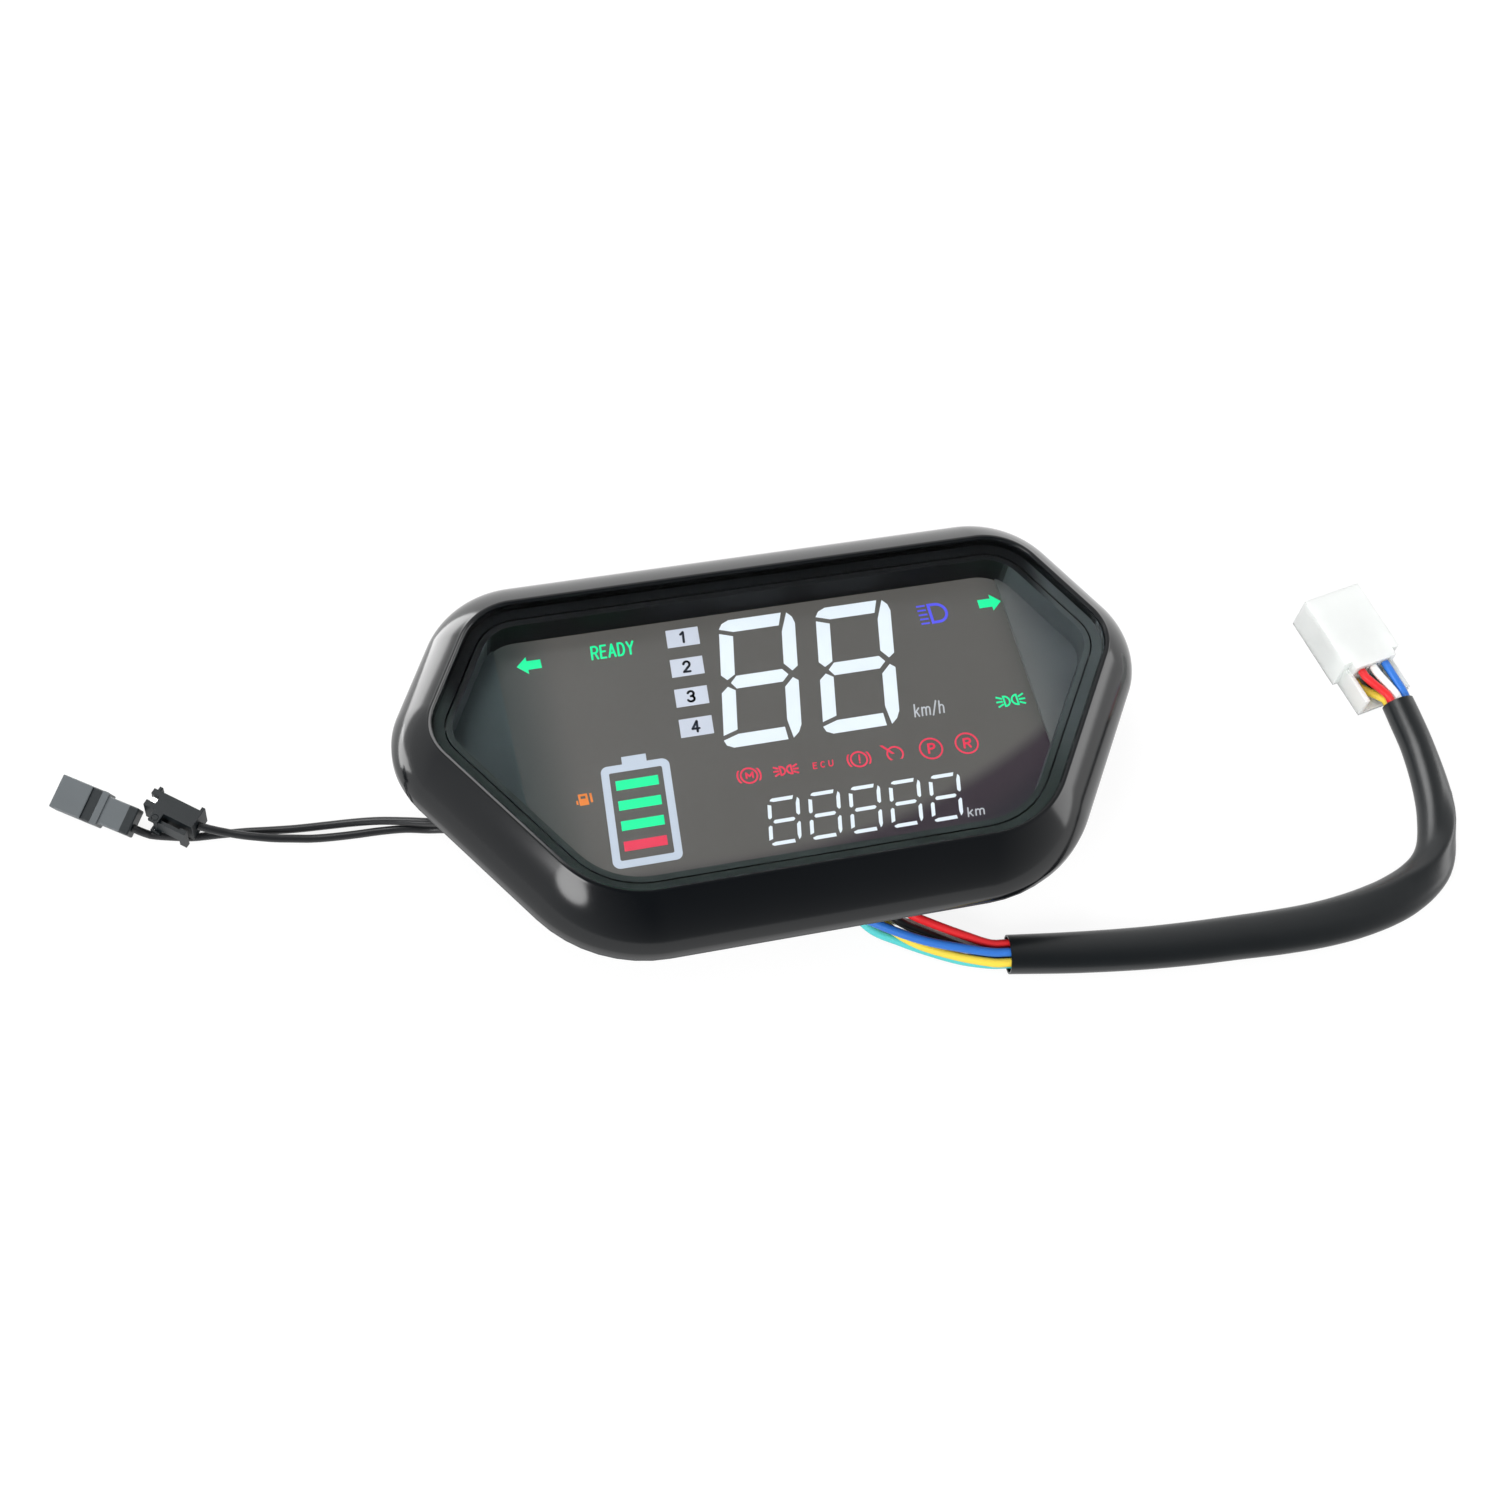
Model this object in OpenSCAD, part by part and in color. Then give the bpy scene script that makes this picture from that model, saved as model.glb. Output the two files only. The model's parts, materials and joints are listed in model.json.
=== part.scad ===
// Motorcycle instrument cluster with its harness and sensor leads, lying on its back.
// +X points to the right of the display, +Y to its top and +Z out of it.
// The origin is in the middle of the back face. All sizes are in millimetres.

/* [Bezel outline] */
// Half height of the ridge that frames the display
ridge_half_h = 41.5; // [38:0.5:46]
// Half width of the ridge at its top corners
ridge_top_half = 68.6; // [64:0.2:74]
// Half width of the ridge at its side points
ridge_side_half = 87; // [84:0.5:94]
// Height of the side points above the middle of the display
ridge_side_y = 9; // [4:0.5:13]
// Half width of the ridge at its bottom corners
ridge_bottom_half = 54; // [50:0.5:60]
// Rounding of the two top corners of the ridge
top_corner_r = 15.6; // [12:0.2:18]
// Rounding of the two side points of the ridge
side_corner_r = 13; // [12:0.5:16]
// Rounding of the two bottom corners of the ridge
bottom_corner_r = 25; // [16:0.5:28]

/* [Bezel section] */
// Depth of the whole cluster from its back face to the ridge
total_depth = 36; // [34:0.5:42]
// Width of the sloping face along the top and the bottom
face_w_ends = 10.5; // [9.5:0.1:13]
// Width of the sloping face along the four sides
face_w_sides = 9; // [8.5:0.1:12]
// Drop of the sloping face from the ridge to the widest line
face_drop = 11.8; // [10.8:0.1:12.6]
// Height of the upright skirt below the sloping face
skirt_h = 2.2; // [1.6:0.1:2.8]
// Wall of the bezel
bezel_wall = 2.2; // [1.6:0.1:2.6]
// Width of the rounded crest between the ridge and the lens pocket
crest_w = 0.9; // [0.6:0.1:1.4]
// Width of the ledge that carries the lens
ledge_w = 2.7; // [1.8:0.1:3.2]
// Thickness of that ledge
ledge_t = 1.8; // [1.2:0.1:2.2]

/* [Lens and display] */
// Thickness of the lens
lens_t = 2.5; // [1.5:0.1:2.8]
// Depth of the lens face below the ridge
lens_recess = 0.6; // [0.3:0.1:1]
// Thickness of the foam tape under the lens
tape_t = 0.4; // [0.2:0.1:0.8]
// Thickness of the display glass
lcd_t = 2.4; // [1.6:0.1:2.8]
// Half width of the display glass
lcd_half_w = 67; // [66:0.5:70]
// Width of the glass that the surround covers at each side
glass_lap = 2; // [1.5:0.5:3]
// Thickness of the surround's wall
surround_wall = 1.5; // [1:0.1:2]
// Thickness of the surround's floor
surround_floor = 0.8; // [0.6:0.1:1.2]
// Thickness of the printed symbols on the display glass
ink_t = 0.15; // [0.1:0.05:0.3]

/* [Display symbols] */
// Space between the window's top and the speed digits
speed_top_gap = 2.2; // [1:0.1:4]
// Height of the speed digits' feet above the row of warning symbols
speed_foot = 8.2; // [5:0.1:10]
// Width of a speed digit
speed_w = 19.6; // [14:0.2:20]
// Stroke of a speed digit
speed_stroke = 3.5; // [2:0.1:4.4]
// Distance between the two speed digits
speed_pitch = 25; // [23:0.2:27]
// Height of an odometer digit
odo_h = 12.4; // [9:0.2:13]
// Width of an odometer digit
odo_w = 7.9; // [6:0.1:8.4]
// Stroke of an odometer digit
odo_stroke = 0.9; // [0.7:0.1:1.6]
// Distance between two odometer digits
odo_pitch = 10.1; // [9:0.1:10.6]
// Width of a ride mode box
mode_w = 8.2; // [6:0.1:9]
// Height of a ride mode box
mode_h = 5; // [3.6:0.1:6]
// Width of the battery symbol
battery_w = 16.8; // [14:0.2:18]
// Height of the battery symbol
battery_h = 27.2; // [24:0.2:29]
// Stroke of the battery symbol
battery_stroke = 1.9; // [1.2:0.1:2.4]
// Outer radius of a round warning symbol
warning_r = 3; // [2:0.1:3.2]
// Stroke of a warning symbol
warning_stroke = 0.4; // [0.3:0.05:0.8]
// Distance between two warning symbols
warning_pitch = 9.2; // [8.6:0.1:9.6]

/* [Backlight and board] */
// Thickness of the circuit board
board_t = 1.6; // [1:0.1:2]
// Height of the board's underside above the back face
board_z = 10.4; // [10:0.1:11.4]
// Wall of the backlight frame
frame_wall = 1.5; // [1:0.1:2]
// Thickness of the diffuser plate
diffuser_t = 2; // [1.5:0.1:3]
// Width of the step that carries the diffuser
diffuser_step = 1.2; // [0.8:0.1:2]
// Space between the backlight frame and the board screws
frame_side_gap = 2.7; // [0.6:0.1:4]
// Space between the ridge line and the backlight frame
frame_inset = 10; // [9.6:0.1:11]

/* [Rear housing] */
// Wall and floor of the rear housing
housing_wall = 2.2; // [1.8:0.1:2.4]
// Thickness of the flange under the bezel
flange_t = 2.5; // [2:0.1:3]
// Step from the bezel's side back to the flange's edge
flange_step = 0.6; // [0.3:0.1:1.2]
// Space between the ridge line and the outside of the tub
tub_inset = 5; // [4.8:0.1:5.4]
// Width of the rubber seal
seal_w = 1.8; // [1.2:0.1:2]
// Height of the rubber seal
seal_h = 1.4; // [1:0.1:1.8]

/* [Fasteners] */
// Diameter of the screw bosses in the bezel
boss_d = 6.5; // [6:0.1:6.8]
// Bore of the screw bosses in the bezel
boss_bore_d = 2.9; // [2.5:0.1:3.2]
// Head diameter of a case screw
case_head_d = 5.6; // [5:0.1:6]
// Head height of a case screw
case_head_h = 2; // [1.5:0.1:2.4]
// Diameter of the standoffs under the board
standoff_d = 6; // [5:0.1:6]
// Bore of the standoffs under the board
standoff_bore_d = 2.4; // [2:0.1:2.8]
// Head diameter of a board screw
board_head_d = 4.4; // [4:0.1:4.6]
// Head height of a board screw
board_head_h = 1.6; // [1.2:0.1:2]

/* [Back mount] */
// Distance between the two threaded inserts in the back
mount_pitch = 70; // [60:1:80]
// Thread core diameter of an insert, for an M6 bolt
mount_bore_d = 5; // [4.2:0.1:6]
// Outside diameter of an insert
insert_d = 8; // [7.4:0.1:8.6]
// Length of an insert
insert_len = 7.5; // [6:0.1:7.8]
// Diameter of the boss round an insert
insert_boss_d = 12; // [11:0.5:14]

/* [Leads] */
// Diameter of a harness wire
wire_d = 2.2; // [1.6:0.1:2.2]
// Distance between two wire holes in the harness grommet
wire_pitch = 2.5; // [2.4:0.05:2.8]
// Place of the harness grommet along the bottom wall
harness_x = 13; // [8:0.5:20]
// Diameter of a sensor lead
lead_d = 2; // [1.6:0.1:2.2]
// Distance between the two sensor leads in their grommet
lead_pitch = 3; // [2.6:0.1:3.2]
// Height of the sensor grommet's place along the left wall
sensor_y = 1; // [-4:0.5:1]

/* [Main plug] */
// Width of the plug's hood
plug_w = 17; // [16.4:0.2:20]
// Height of the plug's hood
plug_h = 10.8; // [10.4:0.1:13]
// Length of the plug's hood
hood_len = 21; // [18:0.5:24]
// Length of the open trough behind the hood
trough_len = 10.6; // [8:0.2:14]
// Width of the trough
trough_w = 14; // [13.6:0.2:16]
// Height of the trough's side walls
trough_h = 6.9; // [6:0.1:9]
// Thickness of the trough's floor
trough_floor = 1.1; // [0.8:0.1:1.4]
// Wall of the plug
plug_wall = 1.3; // [1:0.1:1.4]
// Thickness of the wall that holds the terminals
plug_web = 5; // [4:0.2:6]
// Distance between two terminals in a row
terminal_pitch = 3.7; // [3.4:0.1:4.4]
// Distance between the two rows of terminals
terminal_rows = 5.2; // [5.1:0.1:5.6]
// Length of the terminals' wall in the trough
web_out = 2.2; // [1:0.1:3]
// Width of a terminal's blade
blade_w = 2.3; // [1.8:0.1:2.4]
// Thickness of a terminal's blade
blade_t = 0.6; // [0.4:0.1:0.8]
// Length of a terminal's blade in the hood
blade_len = 8.5; // [6:0.5:10]

/* [Sensor connectors] */
// Length of the hooded connector
hooded_len = 20.4; // [18:0.2:24]
// Length of the hooded connector's wire end
hooded_rear = 8; // [6:0.2:9]
// Width of the hood
hooded_w = 8.5; // [8:0.1:10]
// Height of the hood
hooded_h = 5.4; // [5.2:0.1:6]
// Wall of the hood
hooded_wall = 1.15; // [1.1:0.05:1.4]
// Length of the latched connector
latched_len = 13.4; // [13.2:0.1:16]
// Width of the latched connector
latched_w = 6.4; // [6.2:0.1:7]
// Height of the latched connector's body
latched_h = 5; // [4.4:0.1:5.2]
// Distance between the two contacts of a sensor connector
contact_pitch = 2.5; // [2.4:0.05:2.8]
// Width of the latch lever
lever_w = 4.2; // [3.4:0.1:4.2]
// Thickness of the latch lever
lever_t = 0.9; // [0.7:0.1:1]
// Free travel under the latch lever
lever_gap = 1.3; // [1.2:0.1:1.6]
// Diameter of the lever's pivot
pivot_d = 1.4; // [1.2:0.1:1.6]

/* [Clearances] */
// Space round a part that drops into a pocket
fit_gap = 0.2; // [0.15:0.05:0.25]
// Space between neighbours that don't touch
part_gap = 0.4; // [0.3:0.05:0.5]
// Radial space of a screw, insert, pivot or wire in its hole
bore_gap = 0.05; // [0.03:0.01:0.08]

/* [Hidden] */
$fn = 48;
// Steps on each rounded corner of the outline
arc_steps = 8;
// Overlap that makes a cut or a joint clean
eps = 0.1;

// Levels
ridge_z = total_depth;
skirt_z = ridge_z - face_drop - skirt_h;
lens_top_z = ridge_z - lens_recess;
lens_z = lens_top_z - lens_t;
ledge_z = lens_z - tape_t;
flange_z = skirt_z - flange_t;
lcd_z = skirt_z + fit_gap;
lcd_top_z = lcd_z + lcd_t;
board_top_z = board_z + board_t;

// Outline helpers
function unit(v) = v / norm(v);
function turned(v, a) = [v[0] * cos(a) - v[1] * sin(a), v[0] * sin(a) + v[1] * cos(a)];
upper_n = unit([ridge_half_h - ridge_side_y, ridge_side_half - ridge_top_half]);
lower_n = unit([ridge_half_h + ridge_side_y, ridge_bottom_half - ridge_side_half]);
function upper_c(out) = upper_n * [ridge_side_half, ridge_side_y] + out;
function lower_c(out) = lower_n * [ridge_side_half, ridge_side_y] + out;
// Place on the lower side wall at a height y, moved out from the ridge line
function lower_side_x(y, out) = (lower_c(out) - lower_n[1] * y) / lower_n[0];
function side_point(out) =
    let (k = upper_n[0] * lower_n[1] - upper_n[1] * lower_n[0])
    [(upper_c(out) * lower_n[1] - upper_n[1] * lower_c(out)) / k,
     (upper_n[0] * lower_c(out) - upper_c(out) * lower_n[0]) / k];
// Six sharp corners, counterclockwise from the top right
function hexagon(ends, sides) =
    let (y = ridge_half_h + ends,
         xt = (upper_c(sides) - upper_n[1] * y) / upper_n[0],
         xb = lower_side_x(-y, sides),
         s = side_point(sides))
    [[xt, y], [-xt, y], [-s[0], s[1]], [-xb, -y], [xb, -y], s];
corner_r = [top_corner_r, top_corner_r, side_corner_r, bottom_corner_r, bottom_corner_r, side_corner_r];
function corner_arc(a, p, b, r) =
    let (u = unit(a - p), w = unit(b - p), half = acos(u * w) / 2,
         c = p + unit(u + w) * r / sin(half),
         s = p + u * r / tan(half) - c)
    [for (i = [0:arc_steps]) c + turned(s, (180 - 2 * half) * i / arc_steps)];
// The ridge outline grown by one distance at top and bottom and another on the four sides
function outline(ends, sides) =
    let (v = hexagon(ends, sides), grow = (ends + sides) / 2)
    [for (i = [0:5]) each corner_arc(v[(i + 5) % 6], v[i], v[(i + 1) % 6], max(1, corner_r[i] + grow))];

module prism(ends, sides, z0, z1) {
    translate([0, 0, z0])
        linear_extrude(z1 - z0)
            polygon(outline(ends, sides));
}
module inset_prism(inset, z0, z1) {
    prism(-inset, -inset, z0, z1);
}
module block(x0, x1, y0, y1, z0, z1) {
    translate([x0, y0, z0])
        cube([x1 - x0, y1 - y0, z1 - z0]);
}
// A block centred on X and Y
module pad(w, l, z0, z1) {
    block(-w / 2, w / 2, -l / 2, l / 2, z0, z1);
}
module rod(d, z0, z1) {
    translate([0, 0, z0])
        cylinder(d = d, h = z1 - z0);
}
// A rod along +X from x0 to x1
module rod_x(d, x0, x1) {
    rotate([0, 90, 0])
        rod(d, x0, x1);
}

// Bezel section: each point is [share of the face width, distance from the ridge line, height]
function bezier(a, b, c, t) = a * (1 - t) * (1 - t) + b * 2 * t * (1 - t) + c * t * t;
face_steps = 8;
// Bend of the sloping face, as shares of its width and drop
face_bend = [0.85, 0.55];
function face_point(t) = bezier([0, 0], face_bend, [1, 1], t);
ceiling_z = ledge_z - ledge_t;
inner_rise = 2.5;
section_outer = [
    for (i = [0:face_steps])
        let (p = face_point(i / face_steps)) [p[0], 0, ridge_z - face_drop * p[1]]
];
section_inner = [
    [1, -bezel_wall, skirt_z],
    [1, -bezel_wall, skirt_z + inner_rise],
    [0.9, -bezel_wall, skirt_z + 2 * inner_rise],
    [0.55, -bezel_wall, ceiling_z - ledge_t / 2],
    [0.3, -bezel_wall, ceiling_z],
    [0, -crest_w - ledge_w, ceiling_z],
    [0, -crest_w - ledge_w, ledge_z],
    [0, -crest_w, ledge_z],
    [0, -crest_w, ridge_z - crest_w * 0.7],
    [0, -crest_w * 0.7, ridge_z - crest_w * 0.2]
];
bezel_section = concat(section_outer, [[1, 0, skirt_z]], section_inner);
function bezel_ring(s) =
    [for (p = outline(s[0] * face_w_ends + s[1], s[0] * face_w_sides + s[1])) [p[0], p[1], s[2]]];
// A closed band of rings, each joined to the next and the last to the first
module loop_band(rings) {
    m = len(rings);
    n = len(rings[0]);
    polyhedron(
        points = [for (r = rings) each r],
        faces = [
            for (j = [0:m - 1], i = [0:n - 1])
                let (a = j * n, b = (j + 1) % m * n, k = (i + 1) % n)
                each [[a + i, a + k, b + k], [a + i, b + k, b + i]]
        ]);
}

// Screw bosses of the bezel
boss_out = 1.5;
boss_top_x = ridge_top_half - 18.6;
boss_bottom_x = ridge_bottom_half - 18;
boss_side_x = side_point(0)[0] - 2;
boss_places = [
    for (s = [-1, 1])
        each [[s * boss_top_x, ridge_half_h + boss_out],
              [s * boss_side_x, ridge_side_y],
              [s * boss_bottom_x, -ridge_half_h - boss_out]]
];
boss_bore_top_z = ceiling_z - 1;

module front_bezel() {
    color("#15171a")
        difference() {
            union() {
                loop_band([for (s = bezel_section) bezel_ring(s)]);
                for (p = boss_places)
                    translate(p)
                        rod(boss_d, skirt_z, ceiling_z + ledge_t / 2);
            }
            for (p = boss_places)
                translate(p)
                    rod(boss_bore_d, skirt_z - eps, boss_bore_top_z);
        }
}

// Lens and its tape
lens_inset = crest_w + fit_gap;
module lens() {
    color("#2a2d2f", 0.5)
        inset_prism(lens_inset, lens_z, lens_top_z);
}
module lens_tape() {
    color("#202020")
        difference() {
            inset_prism(lens_inset, ledge_z, lens_z);
            inset_prism(crest_w + ledge_w, ledge_z - eps, lens_z + eps);
        }
}

// Surround: a tray whose walls rise from the display glass to the lens
surround_inset = crest_w + ledge_w + part_gap;
surround_in = surround_inset + surround_wall;
surround_floor_z = lcd_top_z + surround_floor;
window_half_w = lcd_half_w - glass_lap;
window_half_h = ridge_half_h - surround_in;
module window_cut(half_w, z0, z1) {
    intersection() {
        inset_prism(surround_in, z0, z1);
        pad(2 * half_w, 4 * ridge_half_h, z0 - eps, z1 + eps);
    }
}
module display_surround() {
    color("#0c0e10")
        difference() {
            inset_prism(surround_inset, lcd_top_z, lens_z - fit_gap);
            inset_prism(surround_in, surround_floor_z, lens_z);
            window_cut(window_half_w, lcd_top_z - eps, surround_floor_z + eps);
        }
}
module display_glass() {
    color("#4c4a48")
        intersection() {
            inset_prism(surround_inset + part_gap, lcd_z, lcd_top_z);
            pad(2 * lcd_half_w, 4 * ridge_half_h, lcd_z - eps, lcd_top_z + eps);
        }
}

// Printed symbols: outlines in display coordinates, leaning to the right by a slant
digit_slant = 0.195;
symbol_slant = 0.09;
function slanted(pts, slant) = [for (p = pts) [p[0] + slant * p[1], p[1]]];
function flip_x(pts) = [for (p = pts) [-p[0], p[1]]];
function flip_y(pts) = [for (p = pts) [p[0], -p[1]]];
function moved(pts, at) = [for (p = pts) p + at];
function box_pts(w, h) = [[-w / 2, -h / 2], [w / 2, -h / 2], [w / 2, h / 2], [-w / 2, h / 2]];
module ink(pts) {
    translate([0, 0, lcd_top_z])
        linear_extrude(ink_t)
            polygon(pts);
}
module slanted_box(at, w, h) {
    ink(moved(slanted(box_pts(w, h), symbol_slant), at));
}
module ink_ring(at, r, stroke) {
    translate([at[0], at[1], lcd_top_z])
        difference() {
            cylinder(r = r, h = ink_t);
            translate([0, 0, -eps])
                cylinder(r = r - stroke, h = ink_t + 2 * eps);
        }
}
// All seven bars of one digit: the upper ones, mirrored for the lower ones, and the middle one
function bar_across(w, h, t, g) =
    [[g - w / 2, h / 2 - 0.65 * t], [g - w / 2 + 0.2 * t, h / 2 - 0.25 * t], [g - w / 2 + 0.7 * t, h / 2],
     [w / 2 - t - g, h / 2], [w / 2 - 1.2 * t - g, h / 2 - t], [g - w / 2 + 1.05 * t, h / 2 - t]];
function bar_left(w, h, t, g) =
    [[-w / 2, h / 2 - 1.03 * t - g], [-w / 2, 0.73 * t + g], [0.45 * t - w / 2, 0.28 * t + g],
     [t - w / 2, 0.65 * t + g], [t - w / 2, h / 2 - 1.37 * t - g]];
function bar_right(w, h, t, g) =
    [[w / 2 - 0.6 * t, h / 2 - 0.05 * t - g], [w / 2 - t, h / 2 - 1.55 * t - g], [w / 2 - t, 0.95 * t + g],
     [w / 2 - 0.4 * t, 0.28 * t + g], [w / 2, 0.6 * t + g], [w / 2, h / 2 - t - g],
     [w / 2 - 0.2 * t, h / 2 - 0.45 * t - g]];
function bar_middle(w, t, g) =
    [[0.7 * t + g - w / 2, 0], [1.1 * t + g - w / 2, -t / 2], [w / 2 - 1.15 * t - g, -t / 2],
     [w / 2 - 0.72 * t - g, 0], [w / 2 - 1.15 * t - g, t / 2], [1.1 * t + g - w / 2, t / 2]];
module digit(at, w, h, t, g) {
    upper = [bar_across(w, h, t, g), bar_left(w, h, t, g), bar_right(w, h, t, g)];
    for (pts = concat(upper, [for (b = upper) flip_y(b)], [bar_middle(w, t, g)]))
        ink(moved(slanted(pts, digit_slant), at));
}
// Places of the symbols: a distance from the middle or a side, and one from the window's top or foot
top_y = window_half_h;
foot_y = -window_half_h;
warning_x = -10.9;
warning_rise = 25.8;
speed_x = -1.8;
odo_x = -5.4;
odo_rise = 12.5;
mode_x = -18;
mode_drop = 5.2;
battery_x = -38.6;
battery_rise = 20.5;
arrow_left_in = 8;
arrow_left_drop = 6.8;
arrow_right_in = 3.2;
arrow_right_drop = 8.1;
beam_in = 19.25;
beam_drop = 8.8;
lamp_in = 6.2;
lamp_rise = 1.1;
pump_x = -51.4;
pump_rise = 26.4;
warning_at = [warning_x, foot_y + warning_rise];
speed_foot_y = warning_at[1] + speed_foot;
speed_h = top_y - speed_top_gap - speed_foot_y;
speed_at = [speed_x, speed_foot_y + speed_h / 2];
odo_at = [odo_x, foot_y + odo_rise];
odo_count = 5;
// Drop from one digit to the next, and the extra space between an odometer digit's bars
speed_drift = -0.4;
odo_drift = -0.2;
odo_gap = 0.6;
module display_digits() {
    color("#e6f0fa") {
        for (i = [0:1])
            digit(speed_at + i * [speed_pitch, speed_drift], speed_w, speed_h, speed_stroke, 0);
        for (i = [0:odo_count - 1])
            digit(odo_at + i * [odo_pitch, odo_drift], odo_w, odo_h, odo_stroke, odo_gap);
    }
}
mode_at = [mode_x, top_y - mode_drop];
mode_step = [-0.8, -8.5];
mode_count = 4;
module mode_boxes() {
    color("#d7deee")
        for (i = [0:mode_count - 1])
            slanted_box(mode_at + i * mode_step, mode_w, mode_h);
}
battery_at = [battery_x, foot_y + battery_rise];
battery_cap = [6, 2];
bar_h = 2.5;
bar_step = 5.4;
bar_side_gap = 1.3;
// Rounding of the battery symbol's outline
battery_round = 1.8;
bar_count = 4;
function battery_bar_at(i) =
    let (y = ((bar_count - 1) / 2 - i) * bar_step)
    battery_at + [symbol_slant * y, y];
module battery_bar(i) {
    slanted_box(battery_bar_at(i), battery_w - 2 * battery_stroke - 2 * bar_side_gap, bar_h);
}
module battery_outline(inset, r) {
    offset(r = r)
        offset(delta = -r)
            polygon(moved(slanted(box_pts(battery_w - 2 * inset, battery_h - 2 * inset), symbol_slant),
                          battery_at));
}
module battery_symbol() {
    color("#e6f0fa") {
        cap_y = (battery_h + battery_cap[1]) / 2;
        translate([0, 0, lcd_top_z])
            linear_extrude(ink_t)
                difference() {
                    battery_outline(0, battery_round);
                    battery_outline(battery_stroke, battery_round / 4);
                }
        slanted_box(battery_at + [symbol_slant * cap_y, cap_y], battery_cap[0], battery_cap[1]);
    }
}
arrow_end = 3;
arrow_neck = 0.4;
arrow_head = 2.4;
arrow_stem = 1.2;
arrow_pts = [
    [-arrow_end, 0], [-arrow_neck, arrow_head], [-arrow_neck, arrow_stem], [arrow_end, arrow_stem],
    [arrow_end, -arrow_stem], [-arrow_neck, -arrow_stem], [-arrow_neck, -arrow_head]
];
arrow_left_at = [arrow_left_in - window_half_w, top_y - arrow_left_drop];
arrow_right_at = [window_half_w - arrow_right_in, top_y - arrow_right_drop];
lamp_at = [window_half_w - lamp_in, speed_foot_y + lamp_rise];
lamp_r = 1.6;
lamp_split = 1.7;
fault_r = 1.35;
fault_split = 1.4;
ray_turn = 25;
// A lamp in side view: a half round on one side of its flat glass and spread rays on the other
module half_lamp(at, r, rays, s) {
    intersection() {
        ink_ring(at, r, warning_stroke);
        translate([at[0], at[1], lcd_top_z])
            block(min(0, s * r), max(0, s * r), -r, r, -eps, 1);
    }
    ink(moved(box_pts(warning_stroke, 2 * r), at));
    for (i = [-rays:rays])
        let (ray = [for (p = box_pts(r, warning_stroke)) turned(p + [0.8 * r, 0], ray_turn * i) + [0, 0.35 * i * r]])
            ink(moved(s < 0 ? ray : flip_x(ray), at));
}
module green_symbols() {
    color("#18ff96") {
        ink(moved(arrow_pts, arrow_left_at));
        ink(moved(flip_x(arrow_pts), arrow_right_at));
        for (i = [0:bar_count - 2])
            battery_bar(i);
        for (s = [-1, 1])
            half_lamp(lamp_at + [s * lamp_split, 0], lamp_r, 1, -s);
    }
}
beam_at = [window_half_w - beam_in, top_y - beam_drop];
beam_r = 2.95;
beam_flat = 1.6;
beam_stroke = 0.7;
beam_bar = 2.2;
beam_gap = 0.9;
beam_step = 1.3;
module blue_symbol() {
    color("#5f5ffa") {
        intersection() {
            ink_ring(beam_at + [beam_flat, 0], beam_r, beam_stroke);
            translate([beam_at[0] + beam_flat, beam_at[1], lcd_top_z])
                block(0, beam_r, -beam_r, beam_r, -eps, 1);
        }
        for (s = [-1, 1])
            ink(moved(box_pts(beam_flat + eps, beam_stroke),
                      beam_at + [beam_flat / 2, s * (beam_r - beam_stroke / 2)]));
        ink(moved(box_pts(beam_stroke, 2 * beam_r), beam_at));
        for (i = [-2:2])
            ink(moved(box_pts(beam_bar, warning_stroke), beam_at + [-beam_gap - beam_bar / 2, i * beam_step]));
    }
}
pump_at = [pump_x, foot_y + pump_rise];
module amber_symbol() {
    color("#f08c3c") {
        difference() {
            ink(moved(box_pts(2.2, 3), pump_at));
            ink_window(pump_at + [0, 0.6], 1.2, 0.8);
        }
        ink(moved(box_pts(0.5, 2.4), pump_at + [1.9, 0.2]));
        ink(moved(box_pts(0.4, 1), pump_at + [-1.6, -0.6]));
    }
}
module ink_window(at, w, h) {
    translate([at[0], at[1], 0])
        pad(w, h, lcd_top_z - eps, lcd_top_z + 1);
}
warning_drift = -0.1;
function warning_place(i) = warning_at + [i * warning_pitch, i * warning_drift];
// Two short arcs beside a round warning symbol
module side_arcs(at, r) {
    intersection() {
        ink_ring(at, r, warning_stroke);
        translate([at[0], at[1], lcd_top_z])
            pad(4 * r, r * 1.1, -eps, 1);
    }
}
module red_symbols() {
    color("#e13c50") {
        battery_bar(bar_count - 1);
        for (i = [0, 3]) {
            ink_ring(warning_place(i), warning_r * 0.74, warning_stroke);
            side_arcs(warning_place(i), warning_r * 1.02);
        }
        for (s = [-1, 1])
            half_lamp(warning_place(1) + [s * fault_split, 0], fault_r, 1, -s);
        difference() {
            ink_ring(warning_place(4), warning_r * 0.72, warning_stroke);
            translate([warning_place(4)[0], warning_place(4)[1] - warning_r, 0])
                pad(warning_r, warning_r, lcd_top_z - eps, lcd_top_z + 1);
        }
        ink(moved(slanted(box_pts(1.6 * warning_stroke, 0.9 * warning_r), -0.9),
                  warning_place(4) + [-0.55, 0.5] * warning_r));
        for (i = [5, 6])
            ink_ring(warning_place(i), warning_r, warning_stroke);
    }
}

// Standoffs of the board, beside the side walls of the tub
tub_in = tub_inset + housing_wall;
standoff_in = 3.2;
standoff_low_y = -2;
standoff_high_y = 16;
standoff_low_x = lower_side_x(standoff_low_y, -tub_in - standoff_in);
standoff_high_x = (upper_c(-tub_in - standoff_in) - upper_n[1] * standoff_high_y) / upper_n[0];
standoff_places = [
    for (s = [-1, 1])
        each [[s * standoff_low_x, standoff_low_y], [s * standoff_high_x, standoff_high_y]]
];

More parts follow.
